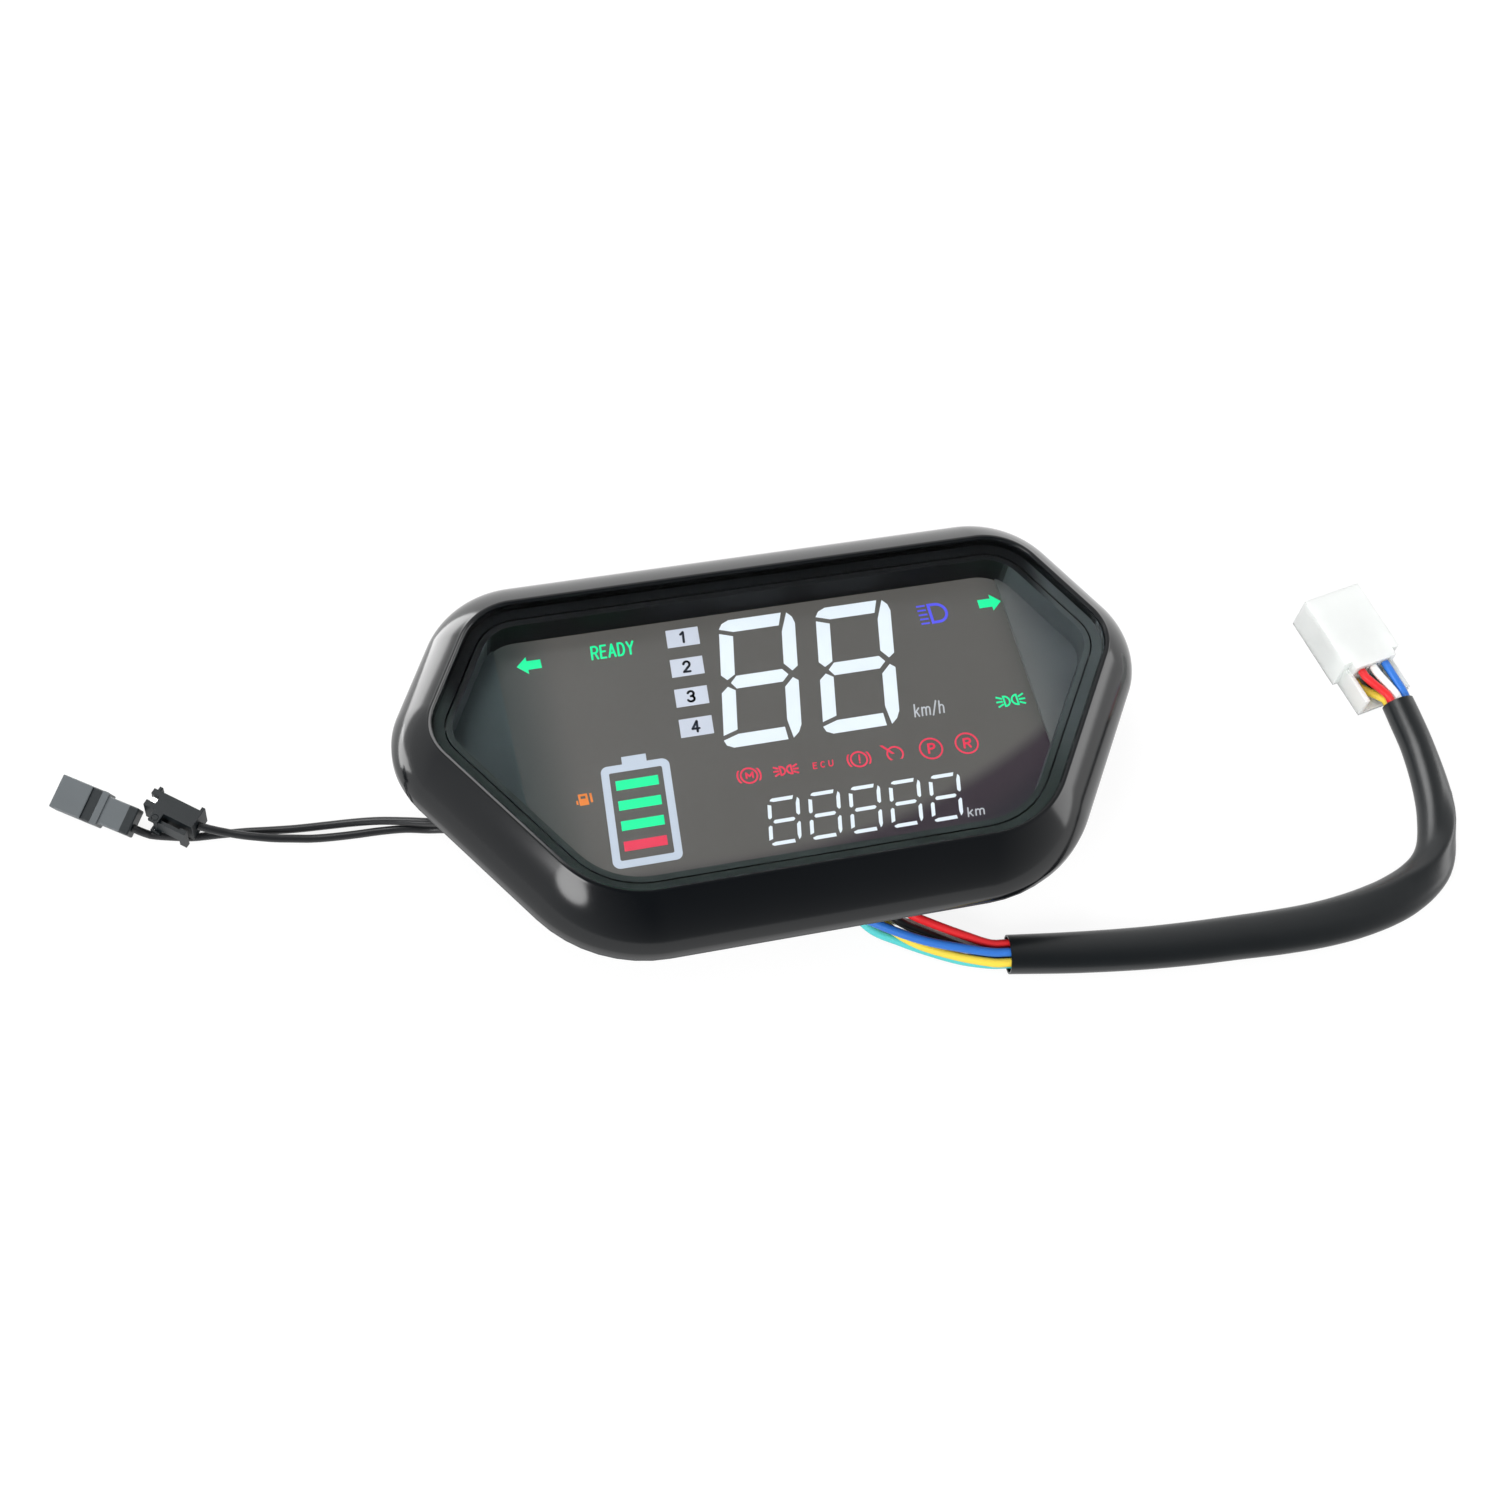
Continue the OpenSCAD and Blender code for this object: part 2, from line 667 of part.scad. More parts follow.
// Backlight: a white frame on the board that carries the diffuser under the glass
frame_half_w = min(standoff_low_x, standoff_high_x) - board_head_d / 2 - frame_side_gap;
module frame_prism(extra, z0, z1) {
    intersection() {
        inset_prism(frame_inset + extra, z0, z1);
        pad(2 * (frame_half_w - extra), 4 * ridge_half_h, z0 - eps, z1 + eps);
    }
}
diffuser_z = lcd_z - diffuser_t;
module diffuser_plate() {
    color("#f4f6f4")
        frame_prism(frame_wall + fit_gap, diffuser_z, lcd_z);
}
module backlight_frame() {
    color("#f0f0ea")
        difference() {
            frame_prism(0, board_top_z, lcd_z);
            frame_prism(frame_wall, diffuser_z, lcd_z + eps);
            frame_prism(frame_wall + diffuser_step, board_top_z - eps, diffuser_z + eps);
        }
}
led_size = [3.5, 2.8, 0.9];
led_columns = 8;
led_rows = 3;
led_pitch = [12.5, 17];
module backlight_leds() {
    color("#fffce0")
        for (i = [0:led_columns - 1], j = [0:led_rows - 1])
            translate([(i - (led_columns - 1) / 2) * led_pitch[0], (j - (led_rows - 1) / 2) * led_pitch[1], 0])
                pad(led_size[0], led_size[1], board_top_z, board_top_z + led_size[2]);
}
// Pins between the glass and the board, outside the backlight frame
pin_w = 0.5;
pin_pitch = 2.54;
pin_y = ridge_half_h - frame_inset + 1 + pin_w / 2;
top_pins = 34;
bottom_pins = 14;
bottom_pin_x = -20;
module display_pins() {
    color("#c8ccd0") {
        for (i = [0:top_pins - 1])
            translate([(i - (top_pins - 1) / 2) * pin_pitch, pin_y, 0])
                pad(pin_w, pin_w, board_top_z, lcd_z);
        for (i = [0:bottom_pins - 1])
            translate([bottom_pin_x + (i - (bottom_pins - 1) / 2) * pin_pitch, -pin_y, 0])
                pad(pin_w, pin_w, board_top_z, lcd_z);
    }
}

// Circuit board on four standoffs, with its parts underneath
board_inset = tub_in + part_gap;
grommet_z = 6.8;
grommet_rim = 1.1;
grommet_lip = 1;
grommet_flange_t = 1.2;
module circuit_board() {
    color("#1d5c34")
        difference() {
            inset_prism(board_inset, board_z, board_top_z);
            for (p = standoff_places)
                translate(p)
                    rod(standoff_bore_d + 2 * fit_gap, board_z - eps, board_top_z + eps);
        }
}
chip_at = [0, 8];
chip_w = 10;
chip_h = 1.4;
chip_legs = 11;
chip_leg = [0.4, 1.2, 0.3];
chip_leg_pitch = 0.8;
module controller_chip() {
    color("#1b1b1d")
        translate([chip_at[0], chip_at[1], 0]) {
            pad(chip_w, chip_w, board_z - chip_h, board_z);
            for (a = [0:90:270], i = [0:chip_legs - 1])
                rotate([0, 0, a])
                    translate([(i - (chip_legs - 1) / 2) * chip_leg_pitch, (chip_w + chip_leg[1]) / 2, 0])
                        pad(chip_leg[0], chip_leg[1], board_z - chip_leg[2], board_z);
        }
}
capacitor_d = 6.3;
capacitor_h = 5.4;
capacitor_places = [[-14, -14], [-23, -14]];
module supply_capacitors() {
    color("#b8bcc0")
        for (p = capacitor_places)
            translate(p)
                rod(capacitor_d, board_z - capacitor_h, board_z);
}
regulator_at = [-34, -16];
module supply_regulator() {
    color("#202022")
        translate([regulator_at[0], regulator_at[1], 0]) {
            pad(6.6, 6.2, board_z - 2.3, board_z);
            translate([0, 4.1, 0])
                pad(5.4, 2, board_z - 0.5, board_z);
        }
}
header_size = [17, 6, 6.6];
sensor_header_w = 10;
header_y = -ridge_half_h + 19.5;
module harness_header() {
    color("#ece8dc")
        translate([harness_x, header_y, 0])
            pad(header_size[0], header_size[1], board_z - header_size[2], board_z);
}
// Places beside the sensor leads' way through the left wall
sensor_angle = atan2(-lower_n[1], lower_n[0]);
sensor_wall_x = -lower_side_x(sensor_y, -tub_inset);
sensor_z = 6.2;
sensor_out = [-lower_n[0], lower_n[1]];
sensor_along = [lower_n[1], lower_n[0]];
sensor_header_in = 12;
function sensor_point(out, along) =
    let (p = [sensor_wall_x, sensor_y] + sensor_out * out + sensor_along * along) [p[0], p[1], sensor_z];
// Local +X leaves the left wall square to it, with the origin on the wall's outside
module at_sensor_wall() {
    translate([sensor_wall_x, sensor_y, 0])
        rotate([0, 0, 180 + sensor_angle])
            children();
}
module sensor_header() {
    color("#ece8dc")
        at_sensor_wall()
            translate([-sensor_header_in - header_size[1] / 2, 0, 0])
                pad(header_size[1], sensor_header_w, board_z - header_size[2], board_z);
}
module screw(head_d, head_h, shank_d, length, z, up) {
    translate([0, 0, z])
        mirror([0, 0, up < 0 ? 1 : 0]) {
            difference() {
                rod(head_d, -head_h, 0);
                pad(head_d * 0.6, head_d * 0.14, -head_h - eps, -head_h * 0.55);
                pad(head_d * 0.14, head_d * 0.6, -head_h - eps, -head_h * 0.55);
            }
            rod(shank_d, -eps, length);
        }
}
board_screw_len = 6;
module board_screws() {
    color("#9aa0a6")
        for (p = standoff_places)
            translate(p)
                screw(board_head_d, board_head_h, standoff_bore_d - 2 * bore_gap,
                      board_screw_len, board_top_z, -1);
}

// Rear housing: a tub with a flange that closes the bezel
module wall_seal_ring(out, w, z0, z1) {
    difference() {
        prism(face_w_ends - out, face_w_sides - out, z0, z1);
        prism(face_w_ends - out - w, face_w_sides - out - w, z0 - eps, z1 + eps);
    }
}
module housing_seal() {
    color("#2a2a2c")
        wall_seal_ring(bezel_wall + fit_gap, seal_w, skirt_z, skirt_z + seal_h);
}
insert_places = [for (s = [-1, 1]) [s * mount_pitch / 2, 0]];
insert_roof = 1.4;
module rear_housing() {
    color("#1b1d20")
        difference() {
            union() {
                difference() {
                    union() {
                        prism(face_w_ends - flange_step, face_w_sides - flange_step, flange_z, skirt_z);
                        inset_prism(tub_inset, 0, flange_z + eps);
                    }
                    inset_prism(tub_in, housing_wall, skirt_z + eps);
                }
                for (p = standoff_places)
                    translate(p)
                        rod(standoff_d, housing_wall - eps, board_z);
                for (p = insert_places)
                    translate(p)
                        rod(insert_boss_d, housing_wall - eps, insert_len + insert_roof);
            }
            for (p = standoff_places)
                translate(p)
                    rod(standoff_bore_d, housing_wall + 1, board_z + eps);
            for (p = insert_places)
                translate(p)
                    rod(insert_d + 2 * bore_gap, -eps, insert_len);
            for (p = boss_places)
                translate(p)
                    rod(boss_bore_d + 2 * fit_gap, flange_z - eps, skirt_z + eps);
            translate([harness_x, -ridge_half_h + tub_inset, grommet_z])
                rotate([0, 0, -90])
                    long_rod_x(wire_d + 2 * grommet_rim, wire_span, -housing_wall - eps, eps);
            at_sensor_wall()
                translate([0, 0, sensor_z])
                    long_rod_x(lead_d + 2 * grommet_rim, lead_pitch, -housing_wall - eps, eps);
        }
}
case_screw_len = boss_bore_top_z - flange_z - 1;
module case_screws() {
    color("#5a5f66")
        for (p = boss_places)
            translate(p)
                screw(case_head_d, case_head_h, boss_bore_d - 2 * bore_gap, case_screw_len, flange_z, 1);
}
module mount_inserts() {
    color("#b5893a")
        for (p = insert_places)
            translate(p)
                difference() {
                    rod(insert_d, 0, insert_len);
                    rod(mount_bore_d, -eps, insert_len + eps);
                }
}

// A rod along +X with a long round section, span wide between the middles of its ends
module long_rod_x(d, span, x0, x1) {
    for (s = [-1, 1])
        translate([0, s * span / 2, 0])
            rod_x(d, x0, x1);
    block(x0, x1, -span / 2, span / 2, -d / 2, d / 2);
}
// Rubber grommet along +X for a row of cords, with its neck in the wall behind the origin
module grommet(count, pitch, cord_d) {
    span = (count - 1) * pitch;
    neck_d = cord_d + 2 * grommet_rim;
    difference() {
        union() {
            long_rod_x(neck_d + 2 * grommet_lip, span, -housing_wall - grommet_flange_t, -housing_wall);
            long_rod_x(neck_d - 2 * bore_gap, span, -housing_wall - eps, eps);
            long_rod_x(neck_d + 2 * grommet_lip, span, 0, grommet_flange_t);
        }
        for (i = [0:count - 1])
            translate([0, i * pitch - span / 2, 0])
                rod_x(cord_d + 2 * bore_gap, -housing_wall - 2 * grommet_flange_t, 2 * grommet_flange_t);
    }
}
wire_count = 6;
wire_span = (wire_count - 1) * wire_pitch;
module harness_grommet() {
    color("#222426")
        translate([harness_x, -ridge_half_h + tub_inset, grommet_z])
            rotate([0, 0, -90])
                grommet(wire_count, wire_pitch, wire_d);
}
module sensor_grommet() {
    color("#222426")
        at_sensor_wall()
            translate([0, 0, sensor_z])
                grommet(2, lead_pitch, lead_d);
}

// Cords: an oval tube swept along its own points, each with a width and a height
function tangent(p, i) = unit(p[min(i + 1, len(p) - 1)] - p[max(i - 1, 0)]);
function level_side(t) = unit([-t[1], t[0], 0]);
function oval_ring(c, t, w, h, n) =
    let (s = level_side(t), u = cross(t, s))
    [for (k = [0:n - 1]) c + s * w / 2 * cos(360 * k / n) + u * h / 2 * sin(360 * k / n)];
module swept_tube(pts, sizes, n) {
    m = len(pts);
    polyhedron(
        points = [for (i = [0:m - 1]) each oval_ring(pts[i], tangent(pts, i), sizes[i][0], sizes[i][1], n)],
        faces = concat(
            [[for (k = [0:n - 1]) k]],
            [[for (k = [n - 1:-1:0]) (m - 1) * n + k]],
            [for (i = [0:m - 2], k = [0:n - 1])
                let (a = i * n, b = a + n, l = (k + 1) % n)
                each [[a + k, b + k, b + l], [a + k, b + l, a + l]]]));
}
module round_tube(pts, d) {
    swept_tube(pts, [for (p = pts) [d, d]], 8);
}

// Sleeve: each station is a point of its middle line and the oval's width and height there
sleeve_route = [
    [45, -59, 4], [61, -61.5, 4], [77, -63.5, 4], [91, -64.7, 4], [104, -65.4, 4], [114, -65.9, 4],
    [124, -66, 4], [133.4, -65.4, 4], [142.3, -64, 4], [149, -62.2, 4], [155.6, -59.3, 4], [160.8, -55.5, 4],
    [164.4, -50.2, 4], [167.6, -41, 4], [169.4, -32, 4.1], [170.2, -22, 4.4], [169.9, -14, 4.8], [169.5, -8.9, 5.2]
];
sleeve_sizes = [
    [10, 7.6], [10.6, 7.6], [11, 7.6], [11.3, 7.6], [11.5, 7.6], [11.8, 7.6],
    [12, 7.6], [12.2, 7.6], [12.2, 7.6], [12, 7.6], [11.4, 7.6], [10.8, 7.6],
    [10, 7.6], [9.2, 7.8], [9, 7.8], [8.8, 7.8], [8.8, 7.8], [8.6, 7.8]
];
sleeve_last = len(sleeve_route) - 1;
module harness_sleeve() {
    color("#23282c")
        swept_tube(sleeve_route, sleeve_sizes, 12);
}
// A place on the sleeve's start or end face, or a little way outside it
function sleeve_place(i, across, up, out) =
    let (t = tangent(sleeve_route, i), s = level_side(t))
    sleeve_route[i] + s * across + cross(t, s) * up + t * out;

// Main plug, lying on its side walls with its wires entering from the sleeve
plug_at = [167, -6.8];
plug_turn = 11;
plug_len = trough_len + hood_len;
plug_mid_z = plug_h / 2;
web_y = trough_len - web_out;
web_len = web_out + plug_web;
function plug_place(x, y, z) =
    let (p = plug_at + turned([x, y], plug_turn)) [p[0], p[1], z];
module at_plug() {
    translate([plug_at[0], plug_at[1], 0])
        rotate([0, 0, plug_turn])
            children();
}
terminal_places = [
    for (c = [-1, 0, 1], r = [-1, 1])
        [c * terminal_pitch, plug_mid_z + r * terminal_rows / 2]
];
terminal_hole = [blade_w + 2 * fit_gap, 2.8];
module main_plug_housing() {
    color("#eef2ee")
        at_plug()
            difference() {
                union() {
                    block(-plug_w / 2, plug_w / 2, trough_len, plug_len, 0, plug_h);
                    difference() {
                        block(-trough_w / 2, trough_w / 2, 0, trough_len + eps, 0, trough_h);
                        block(-trough_w / 2 + plug_wall, trough_w / 2 - plug_wall, -eps, web_y,
                              trough_floor, trough_h + eps);
                    }
                    block(-trough_w / 2 + plug_wall / 2, trough_w / 2 - plug_wall / 2, web_y, trough_len + eps,
                          trough_floor / 2, plug_h);
                }
                block(-plug_w / 2 + plug_wall, plug_w / 2 - plug_wall, trough_len + plug_web, plug_len + eps,
                      plug_wall, plug_h - plug_wall);
                for (p = terminal_places)
                    translate([p[0], web_y, p[1]])
                        block(-terminal_hole[0] / 2, terminal_hole[0] / 2, -eps, web_len + eps,
                              -terminal_hole[1] / 2, terminal_hole[1] / 2);
            }
}
module main_plug_terminals() {
    color("#d0d2cc")
        at_plug()
            for (p = terminal_places)
                translate([p[0], web_y, p[1]]) {
                    block(-blade_w / 2, blade_w / 2, 0, web_len,
                          -terminal_hole[1] / 2 + fit_gap, terminal_hole[1] / 2 - fit_gap);
                    block(-blade_w / 2, blade_w / 2, web_len - eps, web_len + blade_len,
                          -blade_t / 2, blade_t / 2);
                }
}

// Harness wires: [hole in the grommet, points on the way, place in the sleeve's start,
// place in the sleeve's end, hole in the plug]
bundle_lead = 4;
header_face_y = header_y - header_size[1] / 2;
grommet_out_y = -ridge_half_h + tub_inset - grommet_flange_t - 0.5;
function wire_x(hole) = harness_x + (hole - (wire_count - 1) / 2) * wire_pitch;
module wire(hole, way, near, far, slot) {
    round_tube(concat([[wire_x(hole), header_face_y, grommet_z], [wire_x(hole), grommet_out_y, grommet_z]], way,
                      [sleeve_place(0, near[0], near[1], -bundle_lead),
                       sleeve_place(0, near[0], near[1], 0)]), wire_d);
    x = slot[0] * terminal_pitch;
    z = plug_mid_z + slot[1] * terminal_rows / 2;
    round_tube([sleeve_place(sleeve_last, far[0], far[1], 0),
                sleeve_place(sleeve_last, far[0], far[1], bundle_lead / 2),
                plug_place(x, web_y - bundle_lead / 2, z),
                plug_place(x, web_y, z)], wire_d);
}
module wire_red() {
    color("#d8262b")
        wire(5, [[22.3, -45.3, 8.4], [27.2, -48.6, 7.5], [36, -53.4, 6]], [2.4, 1.2], [2.3, 1.15], [-1, 1]);
}
module wire_white() {
    color("#e8e8e6")
        wire(3, [[15.1, -40.6, 5.5], [18.4, -44.5, 4.8], [27, -48.2, 4.4], [36.2, -53.6, 3.1]],
             [2.2, -1.2], [0, 1.15], [0, 1]);
}
module wire_blue() {
    color("#2f6fd0")
        wire(0, [[8.2, -42.6, 8.2], [12.5, -45.9, 8.6], [17.9, -49.6, 8.4], [24.9, -53.4, 7.9],
                 [33, -56.4, 7.2]],
             [-0.3, 2.1], [-2.3, 1.15], [1, 1]);
}
module wire_yellow() {
    color("#e2c21f")
        wire(2, [[13.2, -41.5, 7], [15.9, -45.5, 6.2], [22, -51.7, 5.3], [30.2, -56.5, 4.9]],
             [-2.5, 0.9], [2.3, -1.15], [-1, -1]);
}
module wire_black() {
    color("#141416")
        wire(4, [[19.3, -46.1, 7.5], [27, -50.9, 5.4], [36, -55.9, 3.9]], [0.1, -0.15], [0, -1.15], [0, -1]);
}
module wire_green() {
    color("#18a88c")
        wire(1, [[12.9, -45.6, 4.2], [20.4, -50.6, 3], [27.6, -54.7, 2.5], [34, -57.9, 2.4]],
             [-1.9, -1.4], [-2.3, -1.15], [1, -1]);
}

// Sensor connectors: local +X is the way their mates plug in, with the origin on the wire end
hooded_at = [-154.4, 14.8];
hooded_turn = 144.8;
// It lies on one edge of its hood, tipped to the lower left
hooded_roll = 20;
hooded_z = hooded_h / 2;
hooded_rear_w = 7;
hooded_rear_h = 4.4;
band_x = [1.8, 4.3];
band_depth = 0.5;
module at_hooded() {
    translate([hooded_at[0], hooded_at[1], 0])
        rotate([0, 0, hooded_turn])
            translate([0, hooded_w / 2, 0])
                rotate([-hooded_roll, 0, 0])
                    translate([0, -hooded_w / 2, 0])
                        children();
}
module hooded_connector() {
    color("#3a3e42")
        at_hooded()
            difference() {
                union() {
                    block(0, hooded_rear + eps, -hooded_rear_w / 2, hooded_rear_w / 2,
                          hooded_z - hooded_rear_h / 2, hooded_z + hooded_rear_h / 2);
                    block(hooded_rear, hooded_len, -hooded_w / 2, hooded_w / 2, 0, hooded_h);
                }
                block(hooded_rear + hooded_wall, hooded_len + eps,
                      -hooded_w / 2 + hooded_wall, hooded_w / 2 - hooded_wall,
                      hooded_wall, hooded_h - hooded_wall);
                block(hooded_rear + band_x[0], hooded_rear + band_x[1], -hooded_w, hooded_w,
                      hooded_h - band_depth, hooded_h + eps);
            }
}
pin_d = 0.7;
hooded_pin_len = 8;
module hooded_pins() {
    color("#c9b26a")
        at_hooded()
            for (s = [-1, 1])
                translate([0, s * contact_pitch / 2, hooded_z])
                    rod_x(pin_d, hooded_rear + hooded_wall, hooded_rear + hooded_wall + hooded_pin_len);
}
// It lies on its side over the other lead, with its lever to the lower left
latched_at = [-140.6, 9.8];
latched_turn = 140.8;
latched_rest = 2.2;
latched_flange = [0.9, 1];
module at_latched() {
    translate([latched_at[0], latched_at[1], latched_rest + latched_w / 2])
        rotate([0, 0, latched_turn])
            translate([0, -contact_z, 0])
                rotate([-90, 0, 0])
                    children();
}
contact_hole = 1.9;
contact_depth = 7;
contact_z = latched_h / 2;
lever_z = latched_h + lever_gap;
pivot_x = latched_len - 4.4;
pivot_z = lever_z + lever_t / 2;
cheek_half = 1.3;
cheek_in = lever_w / 2 + 0.3;
cheek_top_z = pivot_z + pivot_d / 2 + 0.5;
end_slot = 2.4;
module latched_connector() {
    color("#33373b")
        at_latched()
            difference() {
                union() {
                    block(0, latched_len, -latched_w / 2, latched_w / 2, 0, latched_h);
                    for (x = [0, latched_len - 2 * latched_flange[0]])
                        block(x, x + latched_flange[0], -latched_w / 2, latched_w / 2,
                              -latched_flange[1], latched_h / 2);
                    for (s = [-1, 1])
                        block(pivot_x - cheek_half, pivot_x + cheek_half,
                              min(s * cheek_in, s * latched_w / 2), max(s * cheek_in, s * latched_w / 2),
                              latched_h - eps, cheek_top_z);
                }
                for (s = [-1, 1]) {
                    translate([0, s * contact_pitch / 2, contact_z]) {
                        block(latched_len - contact_depth, latched_len + eps,
                              -contact_hole / 2, contact_hole / 2, -contact_hole / 2, contact_hole / 2);
                        block(latched_len - end_slot, latched_len + eps,
                              min(0, s * latched_w), max(0, s * latched_w), -contact_hole / 2, contact_hole / 2);
                    }
                    translate([pivot_x, 0, pivot_z])
                        rotate([0, 0, 90])
                            rod_x(pivot_d + 2 * bore_gap, min(0, s * latched_w), max(0, s * latched_w));
                }
            }
}
module latched_contacts() {
    color("#cfd3d6")
        at_latched()
            for (s = [-1, 1])
                translate([0, s * contact_pitch / 2, contact_z])
                    difference() {
                        block(latched_len - contact_depth, latched_len - 0.6,
                              -contact_hole / 2 + bore_gap, contact_hole / 2 - bore_gap,
                              -contact_hole / 2 + bore_gap, contact_hole / 2 - bore_gap);
                        block(latched_len - contact_depth + 1, latched_len,
                              -pin_d / 2 - bore_gap, pin_d / 2 + bore_gap,
                              -pin_d / 2 - bore_gap, pin_d / 2 + bore_gap);
                    }
}
lever_end_x = 0.4;
thumb_len = 1.8;
thumb_t = 0.4;
module latch_lever() {
    color("#2c3034")
        at_latched() {
            block(lever_end_x, pivot_x, -lever_w / 2, lever_w / 2, lever_z, lever_z + lever_t);
            block(lever_end_x, lever_end_x + thumb_len, -latched_w / 2, latched_w / 2,
                  lever_z, lever_z + lever_t + thumb_t);
            translate([pivot_x, 0, pivot_z])
                rotate([0, 0, 90])
                    rod_x(pivot_d, -latched_w / 2, latched_w / 2);
        }
}

// Sensor leads from their grommet to the two connectors
lead_stub = 3;
function lead_start(along) = [sensor_point(-sensor_header_in, along), sensor_point(lead_stub, along)];
lead_a_way = [
    [-85.1, 1.1, 5.1], [-91.5, 3.2, 3.6], [-98, 5, 2.6], [-104, 6.1, 1.7], [-110, 6.7, 1.2], [-118, 7.2, 1.1],
    [-124, 7.8, 1.1], [-130, 8.5, 1.1], [-136, 8.9, 1.1], [-142.5, 9.3, 1.1], [-147.2, 10.3, 1.1],
    [-150.8, 11.25, 1.1], [-152.2, 11.65, 1.25], [-154.45, 12.02, 3.3]
];
lead_b_way = [
    [-85.3, 0.5, 2.2], [-92, 2.2, 1.6], [-98, 2.9, 1.2], [-104, 3.1, 1.1], [-110, 3.4, 1.1], [-114.7, 3.8, 1.2],
    [-119, 4.4, 1.6], [-123.3, 4.9, 2.3], [-127, 5.5, 3.1], [-130.9, 6.5, 3.5], [-134.9, 7.8, 4],
    [-138, 8.7, 4.9]
];
function hooded_end() =
    let (y = contact_pitch / 2 - hooded_w / 2,
         across = hooded_w / 2 + y * cos(hooded_roll) + hooded_z * sin(hooded_roll),
         p = hooded_at + turned([0, across], hooded_turn))
    [p[0], p[1], hooded_z * cos(hooded_roll) - y * sin(hooded_roll)];
function latched_end() = [latched_at[0], latched_at[1], latched_rest + latched_w / 2];
module sensor_lead_a() {
    color("#1c1e20")
        round_tube(concat(lead_start(lead_pitch / 2), lead_a_way, [hooded_end()]), lead_d);
}
module sensor_lead_b() {
    color("#1c1e20")
        round_tube(concat(lead_start(-lead_pitch / 2), lead_b_way, [latched_end()]), lead_d);
}

front_bezel();
lens();
lens_tape();
display_surround();
display_glass();
display_digits();
mode_boxes();
battery_symbol();
green_symbols();
red_symbols();
blue_symbol();
amber_symbol();
diffuser_plate();
backlight_frame();
backlight_leds();
display_pins();
circuit_board();
controller_chip();
supply_capacitors();
supply_regulator();
harness_header();
sensor_header();
board_screws();
housing_seal();
rear_housing();
case_screws();
mount_inserts();
harness_grommet();
sensor_grommet();
wire_red();
wire_white();
wire_blue();
wire_yellow();
wire_black();
wire_green();
harness_sleeve();
main_plug_housing();
main_plug_terminals();
sensor_lead_a();
sensor_lead_b();
hooded_connector();
hooded_pins();
latched_connector();
latched_contacts();
latch_lever();
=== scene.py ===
"""Motorcycle instrument cluster: the visual model around its CAD frame.

Sizes and places are in millimetres in the frame's axes: +X to the right of the display, +Y to its
top and +Z out of it. They become metres where a mesh is made.
"""

import json
import math

import bpy
from mathutils import Matrix, Vector
from mathutils.geometry import interpolate_bezier


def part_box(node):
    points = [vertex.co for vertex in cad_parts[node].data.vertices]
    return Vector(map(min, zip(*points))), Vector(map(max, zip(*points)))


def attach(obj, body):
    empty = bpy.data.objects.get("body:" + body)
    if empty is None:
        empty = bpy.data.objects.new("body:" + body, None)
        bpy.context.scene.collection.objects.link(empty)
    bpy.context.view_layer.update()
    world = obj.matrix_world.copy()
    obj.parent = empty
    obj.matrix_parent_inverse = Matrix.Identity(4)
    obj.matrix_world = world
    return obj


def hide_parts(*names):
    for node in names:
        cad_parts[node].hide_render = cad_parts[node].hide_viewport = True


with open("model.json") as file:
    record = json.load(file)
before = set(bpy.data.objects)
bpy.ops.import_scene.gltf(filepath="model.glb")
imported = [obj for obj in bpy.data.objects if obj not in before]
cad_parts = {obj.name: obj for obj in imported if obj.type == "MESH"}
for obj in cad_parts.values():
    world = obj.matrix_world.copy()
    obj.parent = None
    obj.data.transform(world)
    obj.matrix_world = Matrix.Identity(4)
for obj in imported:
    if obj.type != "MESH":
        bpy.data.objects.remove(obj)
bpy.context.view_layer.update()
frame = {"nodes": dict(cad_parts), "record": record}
NODES = frame["nodes"]
BODY = "cluster"
MM = 0.001


# ---------------------------------------------------------------- materials

def srgb(red, green, blue):
    """The linear colour of a display colour given in 0 to 255."""
    def linear(value):
        value /= 255
        return value / 12.92 if value <= 0.04045 else ((value + 0.055) / 1.055) ** 2.4
    return (linear(red), linear(green), linear(blue), 1.0)


def shade(colour, factor):
    """A colour made lighter or darker."""
    return tuple(min(1.0, c * factor) for c in colour[:3]) + (1.0,)


